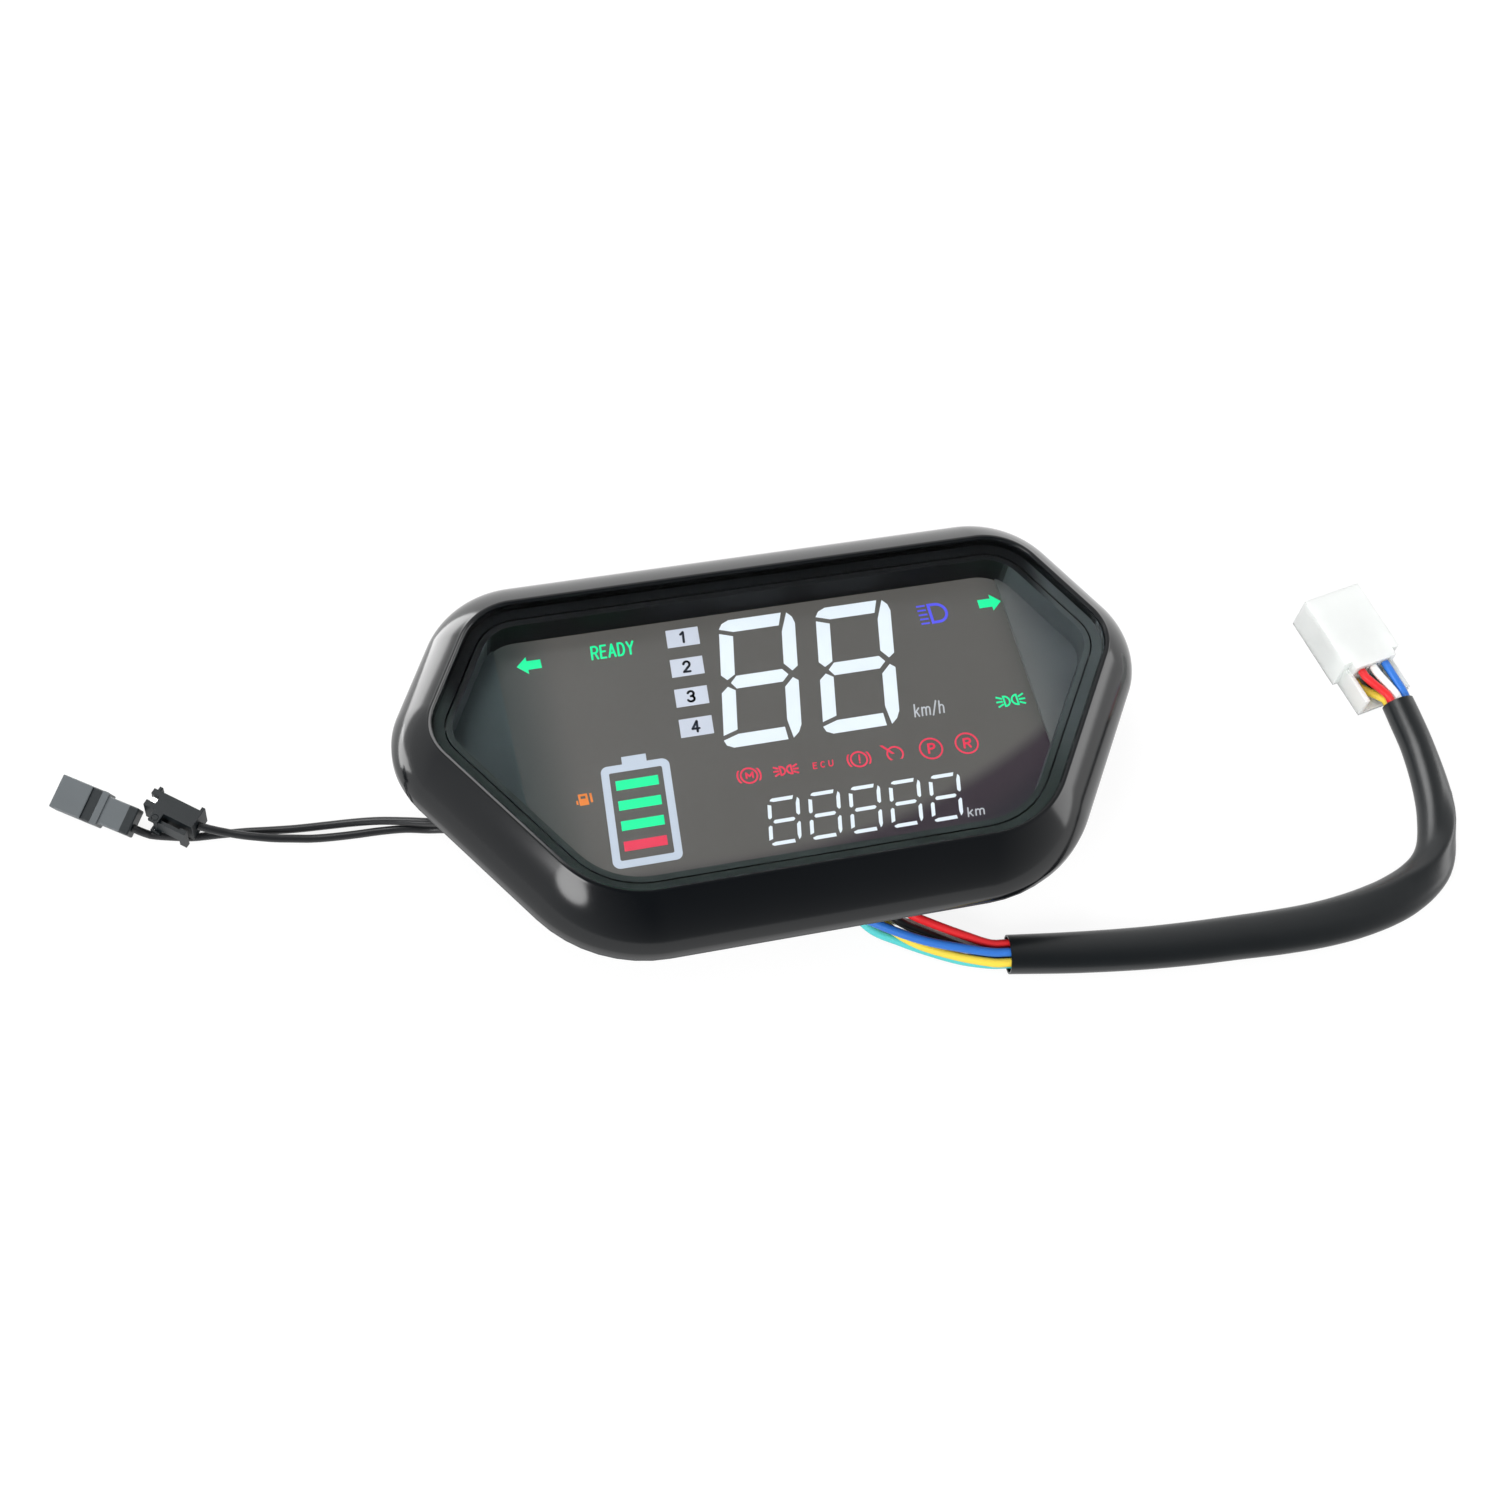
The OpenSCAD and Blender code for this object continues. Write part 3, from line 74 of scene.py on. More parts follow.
class Look:
    """A material with a Principled shader, and short calls for the nodes that feed it."""

    def __init__(self, name, **values):
        self.material = bpy.data.materials.new(name)
        self.material.use_nodes = True
        self.nodes = self.material.node_tree.nodes
        self.links = self.material.node_tree.links
        self.shader = self.nodes["Principled BSDF"]
        self.position = self.nodes.new("ShaderNodeTexCoord").outputs["Object"]
        for socket, value in values.items():
            self.shader.inputs[socket.replace("_", " ")].default_value = value

    def feed(self, value, target):
        """Links an output to a socket, or sets the socket to a plain value."""
        if isinstance(value, bpy.types.NodeSocket):
            self.links.new(value, target)
        else:
            target.default_value = value

    def to(self, socket, value):
        self.feed(value, self.shader.inputs[socket])

    def noise(self, size, detail=2.0, stretch=(1, 1, 1)):
        """Noise whose features are about size millimetres across."""
        scaled = self.nodes.new("ShaderNodeMapping")
        scaled.inputs["Scale"].default_value = [s / (size * MM) for s in stretch]
        self.feed(self.position, scaled.inputs["Vector"])
        noise = self.nodes.new("ShaderNodeTexNoise")
        noise.inputs["Scale"].default_value = 1.0
        noise.inputs["Detail"].default_value = detail
        self.feed(scaled.outputs["Vector"], noise.inputs["Vector"])
        return noise.outputs["Fac"]

    def axis(self, name):
        """One coordinate of the surface in metres: X, Y or Z."""
        split = self.nodes.new("ShaderNodeSeparateXYZ")
        self.feed(self.position, split.inputs["Vector"])
        return split.outputs[name]

    def normal_axis(self, name):
        """One coordinate of the surface's normal."""
        split = self.nodes.new("ShaderNodeSeparateXYZ")
        geometry = self.nodes.new("ShaderNodeNewGeometry")
        self.feed(geometry.outputs["Normal"], split.inputs["Vector"])
        return split.outputs[name]

    def math(self, operation, a, b):
        node = self.nodes.new("ShaderNodeMath")
        node.operation = operation
        self.feed(a, node.inputs[0])
        self.feed(b, node.inputs[1])
        return node.outputs[0]

    def rise(self, value, start, end):
        """0 before start, 1 after end and a smooth step between them."""
        node = self.nodes.new("ShaderNodeMapRange")
        node.interpolation_type = "SMOOTHSTEP"
        self.feed(value, node.inputs["Value"])
        self.feed(start, node.inputs["From Min"])
        self.feed(end, node.inputs["From Max"])
        return node.outputs["Result"]

    def step(self, axis, span):
        """A smooth step along an axis between two places in millimetres."""
        return self.rise(self.axis(axis), span[0] * MM, span[1] * MM)

    def mix(self, share, first, second):
        """A colour between two colours."""
        node = self.nodes.new("ShaderNodeMix")
        node.data_type = "RGBA"
        self.feed(share, node.inputs[0])
        self.feed(first, node.inputs[6])
        self.feed(second, node.inputs[7])
        return node.outputs[2]

    def bump(self, height, depth):
        """Small relief, depth millimetres high."""
        node = self.nodes.new("ShaderNodeBump")
        node.inputs["Strength"].default_value = 1.0
        node.inputs["Distance"].default_value = depth * MM
        self.feed(height, node.inputs["Height"])
        self.to("Normal", node.outputs["Normal"])

    def mottle(self, colour, spread=0.08, size=6.0):
        """A colour that drifts a little over the surface."""
        return self.mix(self.noise(size), shade(colour, 1 - spread), shade(colour, 1 + spread))


def plastic(name, colour, roughness, spread=0.08, size=6.0, relief=0.0, grain=0.6, **values):
    """A moulded plastic or rubber with a fine grain."""
    look = Look(name, Roughness=roughness, **values)
    look.to("Base Color", look.mottle(colour, spread, size))
    if relief:
        look.bump(look.noise(grain, 3.0), relief)
    return look.material


def metal(name, colour, roughness, **values):
    """A bare or plated metal."""
    look = Look(name, Metallic=1.0, **values)
    look.to("Base Color", look.mottle(colour, 0.06, 2.0))
    low, high = roughness * 0.8, roughness * 1.2
    look.to("Roughness", look.math("ADD", look.math("MULTIPLY", look.noise(1.5), high - low), low))
    return look.material


def lit_ink(name, colour, strength=1.0):
    """A symbol that the backlight shines through."""
    look = Look(name, Roughness=0.5, Emission_Strength=strength)
    drift = look.mottle(colour, 0.05, 9.0)
    look.to("Base Color", look.mottle(shade(colour, 0.1), 0.05, 9.0))
    look.to("Emission Color", drift)
    return look.material


def lens_look():
    """The smoked lens: clear, with a faint drift in its tint."""
    look = Look("lens_smoke", Roughness=0.0, IOR=1.1, Transmission_Weight=1.0)
    look.to("Base Color", look.mottle((0.82, 0.83, 0.83, 1.0), 0.01, 60.0))
    return look.material


def bezel_look():
    """Polished black plastic."""
    look = Look("bezel_gloss", IOR=1.46, Roughness=0.13)
    look.to("Base Color", look.mottle((0.0018, 0.0026, 0.0036, 1.0), 0.2, 20.0))
    return look.material


GLASS_GREY = srgb(99, 97, 94)
GLASS_EDGE = srgb(56, 63, 62)
# Colours of the painted reflection on the glass: plum, then dark
REFLECTED_PLUM = srgb(54, 43, 53)
REFLECTED_DARK = srgb(38, 35, 44)
# Where the grey fades in from the left side and from the right side
GLASS_LEFT, GLASS_RIGHT = (-66, -47), (76, 58)
# The painted reflection, a dark sweep at the lower right: its lowest point, its rise by the square
# of metres, and the heights over it where the grey turns to plum and the plum to dark
REFLECTION_X, REFLECTION_Y, REFLECTION_RISE = -14, -31, 3.6
REFLECTION_PLUM, REFLECTION_DARK = (1.5, -4), (-6, -16)


def glass_look():
    """The lit display glass: grey, fading to its sides, with a painted reflection darkening a sweep at
    its lower right.
    """
    look = Look("display_glow", Roughness=0.35, Emission_Strength=1.0)
    lit = look.math("MULTIPLY", look.step("X", GLASS_LEFT), look.step("X", GLASS_RIGHT))
    grey = look.mix(lit, GLASS_EDGE, look.mottle(GLASS_GREY, 0.04, 25.0))
    # Painted reflection: the glass turns plum and then dark in a sweep over its lower right
    run = look.math("MAXIMUM", look.math("SUBTRACT", look.axis("X"), REFLECTION_X * MM), 0.0)
    sweep = look.math("MULTIPLY", look.math("MULTIPLY", run, run), REFLECTION_RISE)
    above = look.math("SUBTRACT", look.math("SUBTRACT", look.axis("Y"), REFLECTION_Y * MM), sweep)
    plum_reflection = look.rise(above, REFLECTION_PLUM[0] * MM, REFLECTION_PLUM[1] * MM)
    dark = look.rise(above, REFLECTION_DARK[0] * MM, REFLECTION_DARK[1] * MM)
    grey = look.mix(plum_reflection, grey, look.mottle(REFLECTED_PLUM, 0.08, 12.0))
    look.to("Emission Color", look.mix(dark, grey, REFLECTED_DARK))
    look.to("Base Color", look.mottle((0.01, 0.01, 0.011, 1.0), 0.1, 20.0))
    return look.material


RIM_GREY = srgb(58, 67, 66)
RIM_RIGHT = srgb(86, 93, 95)
RIM_SHADE = srgb(13, 17, 20)
# Spans in which the rim turns to painted shade, from its left end, its right end and its lower side
RIM_SHADE_LEFT, RIM_SHADE_RIGHT, RIM_SHADE_UP = (-82, -76), (76, 70), (4, 14)
RIM_RIGHT_SPAN = (58, 72)


def rim_colour_and_shade(look):
    """Grey-green along the lower rim, lighter at its right, with near black painted shade along the
    upper one.
    """
    middle = look.math("MULTIPLY", look.step("X", RIM_SHADE_LEFT), look.step("X", RIM_SHADE_RIGHT))
    # Painted shade: the rim turns near black along its upper side
    upper = look.math("MULTIPLY", look.step("Y", RIM_SHADE_UP), middle)
    grey = look.mix(look.step("X", RIM_RIGHT_SPAN), look.mottle(RIM_GREY, 0.1, 9.0), RIM_RIGHT)
    return look.mix(upper, grey, RIM_SHADE)


# Tray walls: a plain grey, near black painted shade for the upper walls and lighter painted light for
# the side walls
WALL_GREY = srgb(30, 37, 38)
WALL_SHADE = srgb(10, 13, 17)
WALL_SIDE_LIT = srgb(88, 95, 98)
TRAY_LEFT = srgb(74, 85, 87)
TRAY_RIGHT = srgb(121, 123, 123)
TRAY_FAR_RIGHT = srgb(100, 106, 109)
# Spans in which the tray's floor turns from left to right and to far right, and rim turns to floor
TRAY_MIDDLE, TRAY_END = (-20, 20), (76, 62)
TRAY_RIM = (28, 27)
TRAY_FLOOR_T = 0.8
TRAY_FLOOR_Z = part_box("display_surround")[0].z / MM + TRAY_FLOOR_T


def surround_look():
    """The tray in the lens: upper walls in painted shade, sides in painted light, a rim and a
    grey-green floor.
    """
    look = Look("surround_dark", Roughness=0.6, IOR=1.3)
    level = look.rise(look.normal_axis("Z"), 0.5, 0.9)
    # Painted shade on walls facing -Y, and painted light on walls facing the sides
    top = look.rise(look.normal_axis("Y"), -0.35, -0.85)
    sides = look.rise(look.math("ABSOLUTE", look.normal_axis("X"), 0.0), 0.6, 0.8)
    walls = look.mix(top, look.mottle(WALL_GREY, 0.1, 8.0), WALL_SHADE)
    walls = look.mix(sides, walls, look.mottle(WALL_SIDE_LIT, 0.1, 8.0))
    floor = look.mix(look.step("X", TRAY_END), look.mottle(TRAY_FAR_RIGHT, 0.1, 14.0), TRAY_RIGHT)
    floor = look.mix(look.step("X", TRAY_MIDDLE), look.mottle(TRAY_LEFT, 0.1, 14.0), floor)
    flat = look.mix(look.step("Z", TRAY_RIM), rim_colour_and_shade(look), floor)
    window = look.math("MULTIPLY", look.step("Z", (TRAY_FLOOR_Z + 0.1, TRAY_FLOOR_Z)), sides)
    look.to("Base Color", look.mix(look.math("MAXIMUM", level, window), walls, flat))
    return look.material


def tape_look():
    """Thin foam tape under the lens, in the rim's colours, with their painted shade along its upper
    side.
    """
    look = Look("lens_tape", Roughness=0.8, IOR=1.3)
    look.to("Base Color", rim_colour_and_shade(look))
    return look.material


def board_look():
    """Green solder mask over a faint pattern of tracks."""
    look = Look("board_green", Roughness=0.35)
    look.to("Base Color", look.mix(look.rise(look.noise(2.0, 0.0, (1, 5, 1)), 0.5, 0.54),
                                   (0.012, 0.10, 0.035, 1.0), (0.02, 0.15, 0.05, 1.0)))
    return look.material


def plug_look():
    """Natural nylon: milky white that light enters."""
    look = Look("plug_nylon", Roughness=0.4, Subsurface_Weight=0.85, Subsurface_Scale=5 * MM,
                Subsurface_Radius=(1.0, 1.0, 1.0))
    look.to("Base Color", look.mottle((0.81, 0.85, 0.825, 1.0), 0.02, 5.0))
    return look.material


def along(look, at, turn):
    """Distance in metres along a level direction from a place."""
    x = look.math("MULTIPLY", look.math("SUBTRACT", look.axis("X"), at.x * MM), math.cos(turn))
    y = look.math("MULTIPLY", look.math("SUBTRACT", look.axis("Y"), at.y * MM), math.sin(turn))
    return look.math("ADD", x, y)


HOODED_AT, HOODED_TURN, HOODED_ROLL = Vector((-154.4, 14.8)), math.radians(144.8), math.radians(20)
# Along it, where the band of painted shade over the hood's recess starts and ends and where the seal
# ends
HOODED_SHADE_START, HOODED_SHADE_END = (9.7, 9.8), (12.4, 12.3)
HOODED_SEAL_END = (2.45, 2.3)


def hooded_look():
    """Grey plastic with a band of painted shade over the hood's recess and a black seal at the wire
    end.
    """
    look = Look("hooded_grey", Roughness=0.45)
    x = along(look, HOODED_AT, HOODED_TURN)
    start, end, seal = (look.rise(x, span[0] * MM, span[1] * MM)
                        for span in (HOODED_SHADE_START, HOODED_SHADE_END, HOODED_SEAL_END))
    # The band is painted shade of the recess; the seal at the wire end is its own black
    dark = look.math("MAXIMUM", look.math("MULTIPLY", start, end), seal)
    look.to("Base Color", look.mix(dark, look.mottle(srgb(80, 85, 88), 0.06, 6.0),
                                   look.mottle(srgb(21, 27, 30), 0.08, 4.0)))
    look.bump(look.noise(0.6, 3.0), 0.01)
    return look.material


def wire_look(name, colour):
    return plastic(name, colour, 0.34, spread=0.06, size=5.0)


LOOKS = {
    "bezel": bezel_look(),
    "lens": lens_look(),
    "black_plastic": plastic("housing_black", (0.020, 0.021, 0.023, 1.0), 0.45, relief=0.02),
    "display": glass_look(),
    "ink_white": lit_ink("ink_white", srgb(232, 242, 252), 1.2),
    "ink_green": lit_ink("ink_green", srgb(24, 250, 165), 1.15),
    "ink_red": lit_ink("ink_red", srgb(240, 62, 92), 1.1),
    "ink_blue": lit_ink("ink_blue", srgb(92, 92, 250), 1.1),
    "ink_amber": lit_ink("ink_amber", srgb(242, 138, 56), 1.1),
    "white_plastic": plastic("white_plastic", (0.80, 0.80, 0.77, 1.0), 0.4, spread=0.03),
    "board": board_look(),
    "chip": plastic("chip_black", (0.015, 0.015, 0.016, 1.0), 0.5, relief=0.01),
    "can": metal("can_aluminium", (0.75, 0.76, 0.78, 1.0), 0.3),
    "tin": metal("tin_plate", (0.70, 0.71, 0.70, 1.0), 0.28),
    "screw_steel": metal("screw_zinc", (0.48, 0.49, 0.50, 1.0), 0.32),
    "brass": metal("insert_brass", (0.72, 0.53, 0.22, 1.0), 0.28),
    "black_rubber": plastic("rubber_black", (0.022, 0.023, 0.025, 1.0), 0.6, relief=0.02),
    "wire_red": wire_look("wire_red", srgb(222, 38, 44)),
    "wire_white": wire_look("wire_white", srgb(236, 236, 234)),
    "wire_blue": wire_look("wire_blue", srgb(46, 112, 200)),
    "wire_yellow": wire_look("wire_yellow", srgb(236, 208, 70)),
    "wire_black": wire_look("wire_black", srgb(26, 27, 29)),
    "wire_green": wire_look("wire_green", srgb(84, 200, 200)),
    "sleeve": plastic("sleeve_dark", srgb(9, 14, 17), 0.32, spread=0.15, size=7.0,
                      relief=0.04, grain=4.0, IOR=1.58),
    "plug_white": plug_look(),
    "connector_grey": plastic("connector_grey", srgb(44, 51, 55), 0.42, relief=0.01),
}
LATCHED = plastic("latched_dark", srgb(17, 23, 26), 0.42, relief=0.01, IOR=1.33)
# Nodes whose look differs from the other nodes of their slot
OWN_LOOKS = {
    "display_surround": surround_look(),
    "lens_tape": tape_look(),
    "hooded_connector": hooded_look(),
    "latched_connector": LATCHED,
    "latch_lever": LATCHED,
    "mode_boxes": lit_ink("mode_grey", srgb(218, 225, 240)),
    "battery_symbol": lit_ink("battery_grey", srgb(210, 222, 238)),
}
LEGEND_GREY = lit_ink("legend_grey", srgb(206, 210, 216))
LEGEND_DARK = plastic("legend_dark", srgb(40, 48, 66), 0.5, spread=0.05)


def dress(obj, material, slot=None):
    """Gives an object one material and, for a new piece given a slot, a body to ride on."""
    obj.data.materials.clear()
    obj.data.materials.append(material)
    if slot:
        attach(obj, BODY)
    return obj


for part in frame["record"]["subparts"]:
    dress(NODES[part["node"]], OWN_LOOKS.get(part["node"]) or LOOKS[part["material_slot"]])


# ---------------------------------------------------------------- mesh helpers

SHARP = math.radians(35)
WELD_GAP = 0.001


def new_mesh(name, points, faces, smooth=True):
    """A mesh object from points in millimetres."""
    mesh = bpy.data.meshes.new(name)
    mesh.from_pydata([Vector(p) * MM for p in points], [], faces)
    mesh.polygons.foreach_set("use_smooth", [smooth] * len(mesh.polygons))
    if smooth:
        mesh.set_sharp_from_angle(angle=SHARP)
    mesh.update()
    obj = bpy.data.objects.new(name, mesh)
    bpy.context.scene.collection.objects.link(obj)
    return obj


def band_faces(rings, around, closed):
    """Faces between rings of points, joined last to first where closed."""
    return [
        (a * around + i, a * around + (i + 1) % around,
         b * around + (i + 1) % around, b * around + i)
        for a, b in [(r, (r + 1) % rings) for r in range(rings if closed else rings - 1)]
        for i in range(around)
    ]


def soften(name, width, segments):
    """Rounds the edges of a moulded CAD node."""
    obj = NODES[name]
    weld = obj.modifiers.new("weld", "WELD")
    weld.merge_threshold = WELD_GAP * MM
    bevel = obj.modifiers.new("edges", "BEVEL")
    bevel.width = width * MM
    bevel.segments = segments
    bevel.limit_method = "ANGLE"
    bevel.angle_limit = SHARP
    bevel.harden_normals = False


# ---------------------------------------------------------------- bezel

RIDGE_HALF_H = 41.5
RIDGE_TOP_HALF = 68.6
RIDGE_SIDE = Vector((87, 9))
RIDGE_BOTTOM_HALF = 54
CORNER_RADII = (15.6, 15.6, 13, 25, 25, 13)
ARC_STEPS = 28
FACE_WIDTHS = (10.5, 9)
FACE_DROP = 11.8
FACE_BEND = Vector((0.85, 0.55))
FACE_STEPS = 32
FACE_START = 0.024
RIDGE_R = 1.4
RIDGE_TURN = 36
RIDGE_STEPS = 6
BEZEL_WALL = 2.2
CREST_W = 0.9
LEDGE_W = 2.7
LEDGE_T = 1.8
# The inside of the skirt: share of the face width and height over the skirt
SKIRT_BEND = (0.9, 5)
CEILING_SHARE = 0.3
# The crest's inner round, in crest widths: distance in and down
CREST_ROUND = [(1, 0.7), (0.9, 0.38), (0.72, 0.14)]
RIDGE_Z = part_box("front_bezel")[1].z / MM
SKIRT_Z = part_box("front_bezel")[0].z / MM
LEDGE_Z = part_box("lens_tape")[0].z / MM

UPPER_N = Vector((RIDGE_HALF_H - RIDGE_SIDE.y, RIDGE_SIDE.x - RIDGE_TOP_HALF)).normalized()
LOWER_N = Vector((RIDGE_HALF_H + RIDGE_SIDE.y, RIDGE_BOTTOM_HALF - RIDGE_SIDE.x)).normalized()


def hexagon(ends, sides):
    """Six sharp corners of the ridge outline grown at its ends and on its four sides."""
    y = RIDGE_HALF_H + ends
    upper, lower = UPPER_N.dot(RIDGE_SIDE) + sides, LOWER_N.dot(RIDGE_SIDE) + sides
    top_x = (upper - UPPER_N.y * y) / UPPER_N.x
    bottom_x = (lower + LOWER_N.y * y) / LOWER_N.x
    k = UPPER_N.x * LOWER_N.y - UPPER_N.y * LOWER_N.x
    side = Vector(((upper * LOWER_N.y - UPPER_N.y * lower) / k,
                   (UPPER_N.x * lower - upper * LOWER_N.x) / k))
    return [Vector((top_x, y)), Vector((-top_x, y)), Vector((-side.x, side.y)),
            Vector((-bottom_x, -y)), Vector((bottom_x, -y)), side]


def outline(ends, sides):
    """The rounded outline, counterclockwise from the top right."""
    corners = hexagon(ends, sides)
    points = []
    for i, corner in enumerate(corners):
        before = (corners[i - 1] - corner).normalized()
        after = (corners[(i + 1) % 6] - corner).normalized()
        radius = max(1, CORNER_RADII[i] + (ends + sides) / 2)
        half = math.acos(before.dot(after)) / 2
        centre = corner + (before + after).normalized() * radius / math.sin(half)
        start = corner + before * radius / math.tan(half) - centre
        sweep = math.pi - 2 * half
        for step in range(ARC_STEPS + 1):
            points.append(centre + Matrix.Rotation(sweep * step / ARC_STEPS, 2) @ start)
    return points


def bezel_section():
    """The bezel's closed section: share of the face width, distance out of the ridge, height."""
    ceiling = LEDGE_Z - LEDGE_T
    face = []
    for step in range(RIDGE_STEPS):
        a = math.radians(90 - RIDGE_TURN * step / RIDGE_STEPS)
        face.append((0, RIDGE_R * (math.cos(a) - math.tan(math.radians(RIDGE_TURN / 2))),
                     RIDGE_Z + RIDGE_R * (math.sin(a) - 1)))
    for step in range(FACE_STEPS + 1):
        t = FACE_START + (1 - FACE_START) * step / FACE_STEPS
        p = FACE_BEND * 2 * t * (1 - t) + Vector((1, 1)) * t * t
        face.append((p.x, 0, RIDGE_Z - FACE_DROP * p.y))
    inside = [
        (1, -BEZEL_WALL, SKIRT_Z),
        (SKIRT_BEND[0], -BEZEL_WALL, SKIRT_Z + SKIRT_BEND[1]),
        (CEILING_SHARE, -BEZEL_WALL, ceiling),
        (0, -CREST_W - LEDGE_W, ceiling),
        (0, -CREST_W - LEDGE_W, LEDGE_Z),
        (0, -CREST_W, LEDGE_Z),
    ]
    crest = [(0, -CREST_W * across, RIDGE_Z - CREST_W * down) for across, down in CREST_ROUND]
    return face + [(1, 0, SKIRT_Z)] + inside + crest


def build_bezel():
    section = bezel_section()
    points = []
    for share, out, z in section:
        ring = outline(share * FACE_WIDTHS[0] + out, share * FACE_WIDTHS[1] + out)
        points += [(p.x, p.y, z) for p in ring]
    around = len(points) // len(section)
    bezel = new_mesh("bezel_shell", points, band_faces(len(section), around, True))
    dress(bezel, LOOKS["bezel"], "bezel")
    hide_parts("front_bezel")


build_bezel()


# ---------------------------------------------------------------- display legends

INK_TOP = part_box("display_digits")[1].z / MM
LEGEND_T = 0.04
WARNING_AT = Vector((-10.8, -10.2))
WARNING_STEP = Vector((9.2, -0.1))
MODE_AT = Vector((-18.15, 30.8))
MODE_STEP = Vector((-0.8, -8.5))


def arc(x, y, rx, ry, start, end, steps=10):
    """Points on an oval arc, its angles in degrees."""
    angles = [math.radians(start + (end - start) * i / steps) for i in range(steps + 1)]
    return [(x + rx * math.cos(a), y + ry * math.sin(a)) for a in angles]


# Strokes of each character, in a box one high: its width and its lines
STROKES = {
    "R": (0.62, [[(0, 0), (0, 1), (0.32, 1)] + arc(0.34, 0.74, 0.28, 0.26, 90, -90) + [(0, 0.48)],
                 [(0.34, 0.48), (0.62, 0)]]),
    "P": (0.62, [[(0, 0), (0, 1), (0.32, 1)] + arc(0.34, 0.73, 0.28, 0.27, 90, -90) + [(0, 0.46)]]),
    "E": (0.52, [[(0.52, 1), (0, 1), (0, 0), (0.52, 0)], [(0, 0.52), (0.45, 0.52)]]),
    "A": (0.66, [[(0, 0), (0.33, 1), (0.66, 0)], [(0.11, 0.32), (0.55, 0.32)]]),
    "D": (0.62, [[(0, 0), (0, 1), (0.26, 1)] + arc(0.26, 0.5, 0.36, 0.5, 90, -90) + [(0, 0)]]),
    "Y": (0.64, [[(0, 1), (0.32, 0.46), (0.64, 1)], [(0.32, 0.46), (0.32, 0)]]),
    "C": (0.6, [arc(0.32, 0.5, 0.32, 0.5, 50, 310)]),
    "U": (0.6, [[(0, 1), (0, 0.32)] + arc(0.3, 0.32, 0.3, 0.32, 180, 360) + [(0.6, 1)]]),
    "M": (0.8, [[(0, 0), (0, 1), (0.4, 0.3), (0.8, 1), (0.8, 0)]]),
    "!": (0.1, [[(0.05, 1), (0.05, 0.32)], [(0.05, 0.06), (0.05, 0)]]),
    "k": (0.46, [[(0, 0), (0, 1)], [(0.44, 0.68), (0, 0.27)], [(0.16, 0.42), (0.46, 0)]]),
    "m": (0.84, [[(0, 0), (0, 0.68)], arc(0.21, 0.45, 0.21, 0.22, 180, 0) + [(0.42, 0)],
                 arc(0.63, 0.45, 0.21, 0.22, 180, 0) + [(0.84, 0)]]),
    "h": (0.46, [[(0, 0), (0, 1)], arc(0.23, 0.43, 0.23, 0.24, 180, 0) + [(0.46, 0)]]),
    "/": (0.36, [[(0, -0.08), (0.36, 1.06)]]),
    "1": (0.3, [[(0, 0.78), (0.26, 1), (0.26, 0)]]),
    "2": (0.56, [arc(0.28, 0.71, 0.28, 0.29, 170, -35) + [(0, 0), (0.58, 0)]]),
    "3": (0.56, [arc(0.26, 0.75, 0.27, 0.25, 160, -90), arc(0.26, 0.26, 0.3, 0.26, 90, -160)]),
    "4": (0.62, [[(0.44, 0), (0.44, 1), (0, 0.3), (0.62, 0.3)]]),
}

# Each legend: name, words, middle, width and height between its strokes' middles, stroke, lean, slot
LEGENDS = [
    ("legend_ready", "READY", (-36.0, 29.95), 10.4, 3.5, 0.52, 0.10, "ink_green"),
    ("legend_speed_unit", "km/h", (37.7, 0.3), 7.5, 3.4, 0.38, 0.19, "ink_white"),
    ("legend_distance_unit", "km", (41.2, -29.4), 4.0, 2.3, 0.34, 0.19, "ink_white"),
    ("legend_motor", "M", WARNING_AT, 1.6, 1.4, 0.45, 0.1, "ink_red"),
    ("legend_control", "ECU", WARNING_AT + 2 * WARNING_STEP, 4.9, 1.5, 0.3, 0.15, "ink_red"),
    ("legend_brake", "!", WARNING_AT + 3 * WARNING_STEP, 0.1, 2.0, 0.42, 0.15, "ink_red"),
    ("legend_park", "P", WARNING_AT + 5 * WARNING_STEP, 1.5, 2.4, 0.55, 0.15, "ink_red"),
    ("legend_reverse", "R", WARNING_AT + 6 * WARNING_STEP, 1.6, 2.4, 0.55, 0.15, "ink_red"),
]
LEGENDS += [
    (f"legend_mode_{i + 1}", str(i + 1), MODE_AT + i * MODE_STEP, width, 2.9, 0.62, 0.12, None)
    for i, width in enumerate((0.8, 1.55, 1.55, 1.7))
]
LETTER_GAP = 0.34
WIDE_GAP = 0.68
DOT_SIDES = 12


def build_legend(name, words, middle, width, height, stroke, lean, slot):
    """Words as flat strokes with round ends, just above the printed symbols."""
    gap = WIDE_GAP if name == "legend_control" else LETTER_GAP
    total = sum(STROKES[c][0] for c in words) + gap * (len(words) - 1)
    points, faces = [], []
    z = INK_TOP + LEGEND_T

    def add(ring):
        faces.append(tuple(range(len(points), len(points) + len(ring))))
        points.extend((p.x, p.y, z) for p in ring)

    x0 = 0.0
    for character in words:
        glyph_w, lines = STROKES[character]
        for line in lines:
            places = []
            for x, y in line:
                y = (y - 0.5) * height
                x = ((x0 + x) / total - 0.5) * width + lean * y
                places.append(Vector(middle) + Vector((x, y)))
            for place in places:
                add([place + Vector((math.cos(a), math.sin(a))) * stroke / 2
                     for a in (2 * math.pi * k / DOT_SIDES for k in range(DOT_SIDES))])
            for a, b in zip(places, places[1:]):
                side = (b - a).normalized().orthogonal() * stroke / 2
                add([a - side, b - side, b + side, a + side])
        x0 += glyph_w + gap
    legend = new_mesh(name, points, faces, smooth=False)
    for face in legend.data.polygons:
        if face.normal.z < 0:
            face.flip()
    look = {None: LEGEND_DARK, "ink_white": LEGEND_GREY}.get(slot) or LOOKS[slot]
    dress(legend, look, slot or "black_plastic")


for legend in LEGENDS:
    build_legend(*legend)


